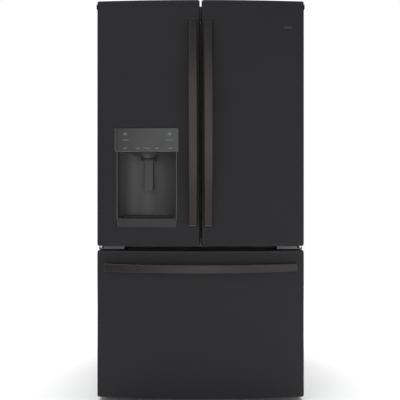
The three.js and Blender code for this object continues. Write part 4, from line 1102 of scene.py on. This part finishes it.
class FRIDGE_OT_interior(Operator):
    """Build the shelves, crispers, door bins, ice box, lamps and filter of the fresh-food space"""

    bl_idname = "fridge.interior"
    bl_label = "Fresh-Food Interior"

    def execute(self, context):
        for node in ("shelf_upper_left", "shelf_upper_right", "shelf_lower", "crisper_cover"):
            shelf_pieces(node)
        for side in ("left", "right"):
            self.crisper(side)
        for node, body in (("left_door_bin", "left_door"), ("right_door_bin_lower", "right_door"),
                           ("right_door_bin_middle", "right_door"),
                           ("right_door_bin_upper", "right_door")):
            self.bin(node, body)
        dress("fresh_food_liner", "liner", 0.006, 4)
        dress("air_duct", "liner", 0.0012, 2)
        dress("cabinet_foam", "foam", 0)
        dress("ice_box", "liner", 0.008, 4)
        self.ice_box_door()
        high = corners("fresh_food_liner")[1]
        self.lamps(high)
        self.water_filter(high)
        self.louvres()
        self.control_pod(high)
        return {"FINISHED"}

    def crisper(self, side):
        """A clear crisper drawer with a frosted front band and a finger lip."""
        low, high = corners(f"crisper_{side}")
        front = low.y + 0.014
        bm = bmesh.new()
        tub(bm, (low.x, front, low.z), high, 0.003, 0.016, 0.003, 0.005)
        block(bm, (low.x + 0.004, front - 0.0045, high.z - 0.034),
              (high.x - 0.004, front + 0.003, high.z - 0.002), 0.002, 3, 1)
        block(bm, (low.x + 0.030, low.y, high.z - 0.0165), (high.x - 0.030, front, high.z - 0.008), 0.003,
              3, 1)
        for k in range(1, 4):
            x = low.x + (high.x - low.x) * k / 4
            block(bm, (x - 0.0012, front + 0.012, low.z + 0.0035),
                  (x + 0.0012, high.y - 0.014, low.z + 0.0055), 0.0007, 2)
        piece(f"crisper_{side}_tub", bm, f"crisper_drawer_{side}", ("clear", "frosted"),
              (f"crisper_{side}",))

    def bin(self, node, body):
        """A clear door bin with a frosted front band and ribs on its floor."""
        low, high = corners(node)
        bm = bmesh.new()
        tub(bm, low, high, 0.0026, 0.014, 0.0012, 0.003)
        block(bm, (low.x + 0.001, high.y - 0.0048, high.z - 0.028),
              (high.x - 0.001, high.y + 0.0004, high.z - 0.001), 0.0018, 3, 1)
        for k in range(1, 6):
            x = low.x + (high.x - low.x) * k / 6
            block(bm, (x - 0.001, low.y + 0.012, low.z + 0.0028),
                  (x + 0.001, high.y - 0.012, low.z + 0.0045), 0.0006, 2)
        piece(f"{node}_tub", bm, body, ("clear", "frosted"), (node,))

    def ice_box_door(self):
        """The ice box's cover plate, its latch and its two hinge knuckles."""
        low, high = corners("ice_box")
        bm = bmesh.new()
        block(bm, (low.x + 0.012, high.y - 0.0005, low.z + 0.014),
              (high.x - 0.012, high.y + 0.0035, high.z - 0.014), 0.003, 4)
        block(bm, (low.x + 0.016, high.y + 0.002, high.z - 0.06),
              (low.x + 0.046, high.y + 0.0085, high.z - 0.045), 0.003, 4, 1)
        for z in (low.z + 0.04, high.z - 0.04):
            lathe(bm, [(0, -0.014), (0.0042, -0.014), (0.005, -0.0132), (0.005, 0.0132), (0.0042, 0.014),
                       (0, 0.014)], (high.x - 0.012, high.y + 0.002, z), "Z", 20)
        piece("ice_box_cover", bm, "left_door", ("liner", "shelf_trim"))

    def lamps(self, high):
        """One lamp under the ceiling and two up each side wall."""
        bm = bmesh.new()
        block(bm, (-0.18, -0.19, high.z - 0.0070), (0.18, -0.10, high.z - 0.0022), 0.003, 3)
        piece("ceiling_lamp", bm, "cabinet", ("lamp",))
        bm = bmesh.new()
        for side in (-1, 1):
            x = side * (high.x - 0.0026)
            for z in (1.235, 1.485):
                block(bm, (min(x, x - side * 0.0035), -0.175, z),
                      (max(x, x - side * 0.0035), -0.160, z + 0.11), 0.0015, 3)
        piece("side_lamps", bm, "cabinet", ("lamp",))

    def water_filter(self, high):
        """The filter's housing in the top right corner, with its turning cap."""
        bm = bmesh.new()
        block(bm, (high.x - 0.106, -0.245, high.z - 0.070), (high.x - 0.012, 0.080, high.z - 0.0028),
              0.010, 5)
        lathe(bm, [(0, -0.262), (0.022, -0.262), (0.026, -0.258), (0.026, -0.246), (0.024, -0.240),
                   (0, -0.240)], (high.x - 0.059, 0, high.z - 0.037), "Y", 40, 1)
        block(bm, (high.x - 0.061, -0.266, high.z - 0.055), (high.x - 0.057, -0.258, high.z - 0.019),
              0.001, 2, 1)
        piece("water_filter_housing", bm, "cabinet", ("liner", "filter"))

    def louvres(self):
        """Six pairs of slatted outlets down the air duct's sides."""
        front = corners("air_duct")[0].y
        bm = bmesh.new()
        for k in range(6):
            z = 1.0 + 0.1 * k
            for side in (-1, 1):
                for j in range(3):
                    x, y = side * (0.052 + 0.004 * j), front + 0.0022 * j
                    block(bm, (x - 0.0010, y + 0.006, z - 0.02), (x + 0.0010, y + 0.013, z + 0.02),
                          0.0008, 2)
        piece("duct_louvres", bm, "cabinet", ("shelf_trim",))

    def control_pod(self, high):
        """The small housing under the ceiling with four plain keys."""
        bm = bmesh.new()
        block(bm, (-0.150, -0.262, high.z - 0.026), (0.150, -0.205, high.z - 0.0025), 0.006, 4)
        for k in range(4):
            block(bm, (-0.075 + k * 0.045, -0.2632, high.z - 0.018),
                  (-0.060 + k * 0.045, -0.2612, high.z - 0.010), 0.001, 2, 1)
        piece("control_pod", bm, "cabinet", ("liner", "panel"))


class FRIDGE_OT_freezer(Operator):
    """Build the freezer baskets and dress the runners and the freezer liner"""

    bl_idname = "fridge.freezer"
    bl_label = "Freezer Baskets"

    def execute(self, context):
        dress("freezer_liner", "liner", 0.005, 4)
        self.lower_basket()
        self.upper_basket()
        for part in ("outer", "middle", "inner"):
            for side in ("left", "right"):
                dress(f"runner_{part}_{side}", "zinc", 0.0007, 2)
        return {"FINISHED"}

    def lower_basket(self):
        """The deep frosted basket with a divider, ribs and a grip."""
        low, high = corners("lower_basket")
        bm = bmesh.new()
        tub(bm, low, high, 0.003, 0.022, 0.004, 0.008)
        block(bm, (-0.0015, low.y + 0.008, low.z + 0.003), (0.0015, high.y - 0.008, low.z + 0.230),
              0.0012, 3)
        for k in range(-4, 5):
            for y in (low.y + 0.0075, high.y - 0.0075):
                x = k * 0.078
                block(bm, (x - 0.002, y - 0.0018, low.z + 0.03), (x + 0.002, y + 0.0018, high.z - 0.02),
                      0.0014, 3)
        block(bm, (-0.11, low.y - 0.002, high.z - 0.030), (0.11, low.y + 0.006, high.z + 0.001), 0.003, 4,
              1)
        piece("lower_basket_tub", bm, "freezer_drawer", ("frosted", "shelf_trim"), ("lower_basket",))

    def upper_basket(self):
        """The shallow sliding basket, with a flange along each side."""
        low, high = corners("upper_basket")
        bm = bmesh.new()
        half = high.x - 0.023
        tub(bm, (-half, low.y, low.z), (half, high.y, high.z), 0.003, 0.018, 0.003, 0.005)
        for side in (-1, 1):
            x0, x1 = sorted((side * (half - 0.001), side * high.x))
            block(bm, (x0, low.y, low.z), (x1, high.y, low.z + 0.003), 0.0012, 3)
        for k in range(-4, 5):
            x = k * 0.080
            block(bm, (x - 0.002, low.y + 0.0030, low.z + 0.02),
                  (x + 0.002, low.y + 0.0065, high.z - 0.016), 0.0014, 3)
        block(bm, (-0.12, low.y - 0.002, high.z - 0.024), (0.12, low.y + 0.006, high.z + 0.001), 0.003, 4,
              1)
        piece("upper_basket_tub", bm, "upper_drawer", ("frosted", "shelf_trim"), ("upper_basket",))


# ------------------------------------------------------------------ case and hardware
class FRIDGE_OT_cabinet(Operator):
    """Dress the outer case, back, covers and hinges, and add screws, beads and fittings"""

    bl_idname = "fridge.cabinet"
    bl_label = "Cabinet and Hinges"

    def execute(self, context):
        dress("outer_case", "case", 0.0016, 3)
        dress("back_panel", "galvanised", 0.0008, 2)
        dress("machine_cover", "galvanised", 0.0006, 2)
        dress("toe_grille", "black", 0.0012, 2)
        for side in ("left", "right"):
            dress(f"top_hinge_{side}", "hinge", 0.001, 2)
            dress(f"hinge_cover_{side}", "black", 0.005, 4)
            dress(f"centre_hinge_{side}", "bracket", 0.0012, 3)
        high = corners("back_panel")[1]
        self.beads(high)
        self.back_fasteners(high)
        self.inlets(high)
        self.front()
        self.hinge_trim()
        self.nameplate()
        return {"FINISHED"}

    def front(self):
        """The centre rail between the compartments, and the cover of the wires along the top."""
        y = CASE[0].y
        z0, z1 = DRAWER[1].z + 0.004, LEFT_DOOR[0].z + 0.018
        bm = bmesh.new()
        block(bm, (-0.334, y - 0.0012, z0), (0.334, y + 0.001, z1), 0.0008, 2)
        piece("centre_rail", bm, "cabinet", ("rail",))
        bm = bmesh.new()
        z = CASE[1].z
        block(bm, (-0.364, y + 0.014, z - 0.0005), (0.364, y + 0.052, z + 0.0245), 0.004, 4)
        for k in (-1, 0, 1):
            lathe(bm, [(0, 0.0008), (0.0034, 0.0008), (0.0040, 0.0002), (0.0062, 0.0012),
                       (0.0066, 0.0006), (0.0068, -0.001), (0, -0.001)],
                  (k * 0.17, y + 0.033, z + 0.0245), "Z", 24, 1)
        piece("harness_cover", bm, "cabinet", ("black", "hinge"))

    def beads(self, high):
        """Seven pressed beads that stiffen the back panel."""
        y = high.y - VALVE_PLATE
        foot, top = 0.44, high.z - 0.14  # the beads' ends
        bm = bmesh.new()
        for k in range(-3, 4):
            x = k * 0.118
            rings = []
            for i in range(25):
                t = i / 24
                z = foot + (top - foot) * t
                h = 0.0024 * min(1, min(t, 1 - t) * 26)
                rings.append([(x - 0.013, y - 0.0008, z), (x - 0.009, y + 0.35 * h, z),
                              (x - 0.005, y + 0.85 * h, z), (x, y + h, z), (x + 0.005, y + 0.85 * h, z),
                              (x + 0.009, y + 0.35 * h, z), (x + 0.013, y - 0.0008, z)])
            loft(bm, rings, closed=False, caps=(False, False))
        piece("back_beads", bm, "cabinet", ("galvanised",), sharp=60)

    def back_fasteners(self, high):
        """The screws of the back panel and of the machine cover."""
        y = high.y - VALVE_PLATE
        bm = bmesh.new()
        spots = [(s * 0.436, z) for s in (-1, 1) for z in (0.29, 0.60, 0.95, 1.30, 1.66)]
        spots += [(x, high.z - 0.014) for x in (-0.3, 0.0, 0.3)]
        spots += [(x, 0.25) for x in (-0.43, -0.22, 0.0, 0.22, 0.43)]
        spots += [(x, 0.088) for x in (-0.43, 0, 0.43)]
        for x, z in spots:
            lathe(bm, [(0, 0.0026), (0.0022, 0.0024), (0.0042, 0.0014), (0.0046, 0.0008),
                       (0.0062, 0.0006), (0.0062, -0.0006), (0, -0.0006)], (x, y, z), "Y", 20)
        piece("back_screws", bm, "cabinet", ("zinc",))

    def inlets(self, high):
        """The water inlet, the cord's gland and the cover of the wires."""
        y = high.y - VALVE_PLATE
        bm = bmesh.new()
        lathe(bm, [(0, 0.012), (0.0042, 0.012), (0.0046, 0.0115), (0.0046, 0.004), (0.0088, 0.0038),
                   (0.0092, 0.003), (0.0092, -0.001), (0, -0.001)], (0.275, high.y, 0.345), "Y", 24, 0)
        block(bm, (0.245, high.y - 0.001, 0.33), (0.305, high.y + 0.004, 0.362), 0.0015, 3, 1)
        piece("water_inlet", bm, "cabinet", ("brass", "black"))
        bm = bmesh.new()
        lathe(bm, [(0, 0.009), (0.0052, 0.009), (0.0072, 0.0075), (0.0105, 0.0030), (0.0125, 0.0022),
                   (0.0125, -0.001), (0, -0.001)], (-0.395, y, 0.225), "Y", 28, 0)
        block(bm, (-0.20, y - 0.001, 1.655), (0.12, y + 0.006, 1.715), 0.003, 3, 1)
        piece("cord_gland_and_wire_cover", bm, "cabinet", ("black", "galvanised"))

    def hinge_trim(self):
        """The centre hinges' sleeves and screws, and the hinge covers' screws and ribs."""
        for side in (-1, 1):
            tag = "left" if side < 0 else "right"
            x, y = side * DOOR_PIN.x, DOOR_PIN.y
            z0, z1 = DRAWER[1].z + 0.004, LEFT_DOOR[0].z
            bm = bmesh.new()
            lathe(bm, [(0.0052, z0), (0.0098, z0), (0.0104, z0 + 0.001), (0.0104, z0 + 0.007),
                       (0.0096, z0 + 0.0078), (0.0096, z1 - 0.0022), (0.0104, z1 - 0.0016),
                       (0.0104, z1 - 0.0006), (0.0052, z1 - 0.0006), (0.0052, z0)], (x, y, 0), sides=36)
            for k in range(3):
                cx = side * (0.352 + 0.024 * k)
                lathe(bm, [(0, 0.0022), (0.003, 0.0020), (0.0052, 0.0010), (0.0056, 0), (0, 0)],
                      (cx, y + 0.035, z0 + 0.005), "Z", 20, 1)
            piece(f"hinge_sleeve_{tag}", bm, "cabinet", ("polished", "zinc"))
            low, high = corners(f"hinge_cover_{tag}")
            bm = bmesh.new()
            cx = (low.x + high.x) / 2
            lathe(bm, [(0, 0.0008), (0.0034, 0.0008), (0.0040, 0.0004), (0.0058, 0.0012),
                       (0.0066, 0.0010), (0.0068, -0.001), (0, -0.001)], (cx, high.y - 0.03, high.z), "Z",
                  24)
            for k in range(4):
                block(bm, (low.x + 0.014, low.y + 0.016 + k * 0.010, high.z - 0.0006),
                      (high.x - 0.014, low.y + 0.019 + k * 0.010, high.z + 0.0008), 0.0006, 2)
            piece(f"hinge_cover_{tag}_detail", bm, "cabinet", ("black",))

    def nameplate(self):
        """A small blank plate at the top of the right door."""
        cx, cz = 0.383, 1.640
        bm = bmesh.new()
        outer = round_rect(0.038, 0.015, 0.0075, 8)

        def ring(k, out):
            return [(cx + px * k, front_y(cx + px * k, out), cz + pz * k) for px, pz in outer]

        loft(bm, [ring(1, -0.0006), ring(1, 0.0008), ring(0.97, 0.0012), ring(0.90, 0.0012),
                  ring(0.87, 0.0007), ring(0.5, 0.0007)])
        piece("blank_nameplate", bm, "right_door", ("nameplate",))


class FRIDGE_OT_machinery(Operator):
    """Build the feet, rollers, compressor, condenser and fan"""

    bl_idname = "fridge.machinery"
    bl_label = "Feet and Machinery"

    def execute(self, context):
        for side in ("left", "right"):
            self.foot(side)
            self.roller(side)
        self.compressor()
        dress("condenser", "fins", 0.001, 2)
        dress("condenser_fan", "black", 0.0006, 2)
        dress("drain_pan", "black", 0.0015, 2)
        return {"FINISHED"}

    def foot(self, side):
        """A leveling foot: a pad, a nut and a threaded stem."""
        low, high = corners(f"leveling_leg_{side}")
        c = (low + high) / 2
        top = high.z
        bm = bmesh.new()
        thread = [(0.0071 - 0.0006 * (k % 2), 0.0150 + (top - 0.016) * k / 26) for k in range(26)]
        lathe(bm, [(0, 0), (0.0185, 0), (0.0198, 0.0012), (0.0200, 0.0055), (0.0180, 0.0068),
                   (0.0125, 0.0085), (0.0115, 0.0125), (0.0075, 0.0138)] + thread + [(0, top)],
              (c.x, c.y, 0), sides=36)
        piece(f"leveling_foot_{side}", bm, f"leg_{side}", ("zinc",), (f"leveling_leg_{side}",))

    def roller(self, side):
        """A rear roller with a hub and a raised tread, on its pin."""
        low, high = corners(f"rear_roller_{side}")
        half = [(0, 0.017), (0.0046, 0.017), (0.005, 0.0165), (0.005, 0.0100), (0.0120, 0.0096),
                (0.0135, 0.0070), (0.0170, 0.0070), (0.0180, 0.0098), (0.0210, 0.0098),
                (0.022, 0.0085)]
        bm = bmesh.new()
        lathe(bm, [(r, -x) for r, x in half] + half[::-1], (low + high) / 2, "X", 48)
        piece(f"transport_roller_{side}", bm, f"roller_{side}", ("black",), (f"rear_roller_{side}",))

    def compressor(self):
        """The welded can on its mounting plate, with grommets, terminal box and tube."""
        low, high = corners("compressor")
        cx, cy = (low.x + high.x) / 2, (low.y + high.y) / 2
        bm = bmesh.new()
        lathe(bm, [(0, 0.084), (0.055, 0.084), (0.072, 0.094), (0.081, 0.112), (0.084, 0.130),
                   (0.084, 0.148), (0.0855, 0.150), (0.0855, 0.155), (0.084, 0.157), (0.083, 0.172),
                   (0.077, 0.192), (0.066, 0.208), (0.048, 0.218), (0.02, 0.222), (0, 0.222)],
              (cx, cy, 0), sides=56)
        block(bm, (low.x, cy - 0.055, low.z), (high.x, cy + 0.055, 0.0795), 0.002, 3, 1)
        for sx in (-1, 1):
            for sy in (-1, 1):
                lathe(bm, [(0, 0.0795), (0.011, 0.0795), (0.012, 0.083), (0.010, 0.088), (0.004, 0.090),
                           (0, 0.090)], (cx + sx * 0.085, cy + sy * 0.04, 0), sides=24, finish=2)
        block(bm, (cx + 0.055, cy - 0.035, 0.13), (cx + 0.100, cy + 0.035, 0.19), 0.004, 3, 2)
        pipe(bm,
             curve_points([(cx + 0.03, cy + 0.02, 0.212), (cx + 0.03, cy + 0.022, 0.238),
                           (cx + 0.05, cy + 0.03, 0.245), (cx + 0.09, cy + 0.05, 0.240)]), 0.0045, 12, 3)
        piece("compressor_can", bm, "cabinet", ("compressor", "zinc", "black", "copper"), ("compressor",))


# ------------------------------------------------------------------ stage
class FRIDGE_OT_stage(Operator):
    """Set up the floor, the soft studio light and the camera"""

    bl_idname = "fridge.stage"
    bl_label = "Studio Stage"

    def execute(self, context):
        s = context.scene.fridge_stage
        self.floor(s.reach)
        self.world(s)
        self.lamp("key", (-2.8, -3.4, 3.0), (0, -0.2, 0.9), 2.8, 30)
        self.lamp("fill", (2.8, -3.4, 1.0), (0, -0.3, 0.4), 2.8, 24)
        self.lamp("overhead", (0, 1.5, 4.4), (0, 0.9, 0), 5.4, 420)
        self.camera(s)
        context.scene.view_settings.view_transform = "Standard"
        context.scene.view_settings.look = "None"
        return {"FINISHED"}

    def floor(self, reach):
        """A pale round floor that fades out towards its rim."""
        f = Finish("pale_floor").set(Specular_IOR_Level=0.2)
        f.to("Base Color", f.mixed(f.noise(1.5, 4), (0.86, 0.86, 0.86), (0.90, 0.90, 0.90)))
        f.to("Roughness", f.spread(f.noise(12, 3), 0.55, 0.7))
        away = f.add("ShaderNodeVectorMath", {0: f.place}, operation="LENGTH").outputs["Value"]
        f.to("Alpha",
             f.add("ShaderNodeMapRange", {"Value": away},
                   {"From Min": reach * 0.5, "From Max": reach * 0.96, "To Min": 1.0, "To Max": 0.0},
                   interpolation_type="SMOOTHSTEP").outputs[0])
        sides, rings = 64, 6
        bm = bmesh.new()
        loft(bm, [[(reach * k / rings * math.cos(2 * math.pi * i / sides),
                    reach * k / rings * math.sin(2 * math.pi * i / sides), -0.0002) for i in range(sides)]
                  for k in range(1, rings + 1)], caps=(True, False))
        bmesh.ops.recalc_face_normals(bm, faces=bm.faces)
        data = bpy.data.meshes.new("floor")
        bm.to_mesh(data)
        bm.free()
        data.materials.append(f.material)
        obj = bpy.data.objects.new("floor", data)
        bpy.context.scene.collection.objects.link(obj)

    def world(self, s):
        """White to the eye; its light is a soft glow from the front on a dimmer surround."""
        world = bpy.data.worlds.new("soft_studio")
        world.use_nodes = True
        tree = world.node_tree
        tree.nodes.clear()

        def add(kind, links=(), values=(), **settings):
            node = tree.nodes.new(kind)
            for k, v in settings.items():
                setattr(node, k, v)
            for k, v in links:
                tree.links.new(v, node.inputs[k])
            for k, v in values:
                node.inputs[k].default_value = v
            return node.outputs[0] if node.outputs else node

        place = tree.nodes.new("ShaderNodeTexCoord").outputs["Generated"]
        front = add("ShaderNodeVectorMath", [(0, place)], [(1, (0, -1, 0.03))], operation="DOT_PRODUCT")
        front = front.node.outputs["Value"]
        glow = add("ShaderNodeMapRange", [("Value", front)],
                   [("From Min", 0.90), ("From Max", 0.998), ("To Min", 0.0), ("To Max", s.glow)],
                   interpolation_type="SMOOTHSTEP")
        height = add("ShaderNodeSeparateXYZ", [(0, place)]).node.outputs["Z"]
        base = add("ShaderNodeMapRange", [("Value", height)],
                   [("From Min", -0.2), ("From Max", 1.0), ("To Min", s.room), ("To Max", s.room * 0.8)])
        total = add("ShaderNodeMath", [(0, glow), (1, base)], operation="ADD")
        lit = add("ShaderNodeBackground", [(1, total)], [(0, (0.975, 0.985, 1, 1))])
        seen = add("ShaderNodeBackground", (), [(0, (1, 1, 1, 1)), (1, 1.0)])
        camera_ray = tree.nodes.new("ShaderNodeLightPath").outputs["Is Camera Ray"]
        mixed = add("ShaderNodeMixShader", [(0, camera_ray), (1, lit), (2, seen)])
        add("ShaderNodeOutputWorld", [(0, mixed)])
        bpy.context.scene.world = world

    def lamp(self, name, at, aim, size, power):
        """A round soft light aimed at a point."""
        data = bpy.data.lights.new(name, "AREA")
        data.shape, data.size, data.energy = "DISK", size, power
        obj = bpy.data.objects.new(name, data)
        obj.location = at
        obj.rotation_euler = (Vector(aim) - Vector(at)).to_track_quat("-Z", "Y").to_euler()
        bpy.context.scene.collection.objects.link(obj)

    def camera(self, s):
        """A level camera straight in front."""
        data = bpy.data.cameras.new("camera")
        data.lens, data.sensor_width, data.shift_y = s.lens, 36, s.shift
        data.clip_start, data.clip_end = 0.05, 60
        obj = bpy.data.objects.new("camera", data)
        obj.location = (-0.0026, CROWN + shape().bulge - s.distance, s.eye)
        obj.rotation_euler = (math.pi / 2, 0, 0)
        bpy.context.scene.collection.objects.link(obj)
        bpy.context.scene.camera = obj


# ------------------------------------------------------------------ panel and registration
OPERATORS = (FRIDGE_OT_stage, FRIDGE_OT_doors, FRIDGE_OT_handles, FRIDGE_OT_dispenser, FRIDGE_OT_seals,
             FRIDGE_OT_interior, FRIDGE_OT_freezer, FRIDGE_OT_cabinet, FRIDGE_OT_machinery)


class FRIDGE_PT_sidebar(Panel):
    """Lists the refrigerator's settings and the operators that build it"""

    bl_idname = "FRIDGE_PT_sidebar"
    bl_label = "Refrigerator"
    bl_space_type = "VIEW_3D"
    bl_region_type = "UI"
    bl_category = "Refrigerator"

    def draw(self, context):
        for group in ("fridge_shape", "fridge_finish", "fridge_stage"):
            box = self.layout.box()
            settings = getattr(context.scene, group)
            for name in settings.__annotations__:
                box.prop(settings, name)
        for op in OPERATORS:
            self.layout.operator(op.bl_idname)


CLASSES = (FridgeShape, FridgeFinish, FridgeStage, *OPERATORS, FRIDGE_PT_sidebar)


def register():
    """Registers the classes and their settings."""
    for c in CLASSES:
        bpy.utils.register_class(c)
    bpy.types.Scene.fridge_shape = PointerProperty(type=FridgeShape)
    bpy.types.Scene.fridge_finish = PointerProperty(type=FridgeFinish)
    bpy.types.Scene.fridge_stage = PointerProperty(type=FridgeStage)


def unregister():
    """Removes the settings and the classes."""
    del bpy.types.Scene.fridge_stage
    del bpy.types.Scene.fridge_finish
    del bpy.types.Scene.fridge_shape
    for c in reversed(CLASSES):
        bpy.utils.unregister_class(c)


def main():
    """Builds everything in order."""
    register()
    for op in OPERATORS:
        area, name = op.bl_idname.split(".")
        getattr(getattr(bpy.ops, area), name)()


if __name__ == "__main__":
    main()
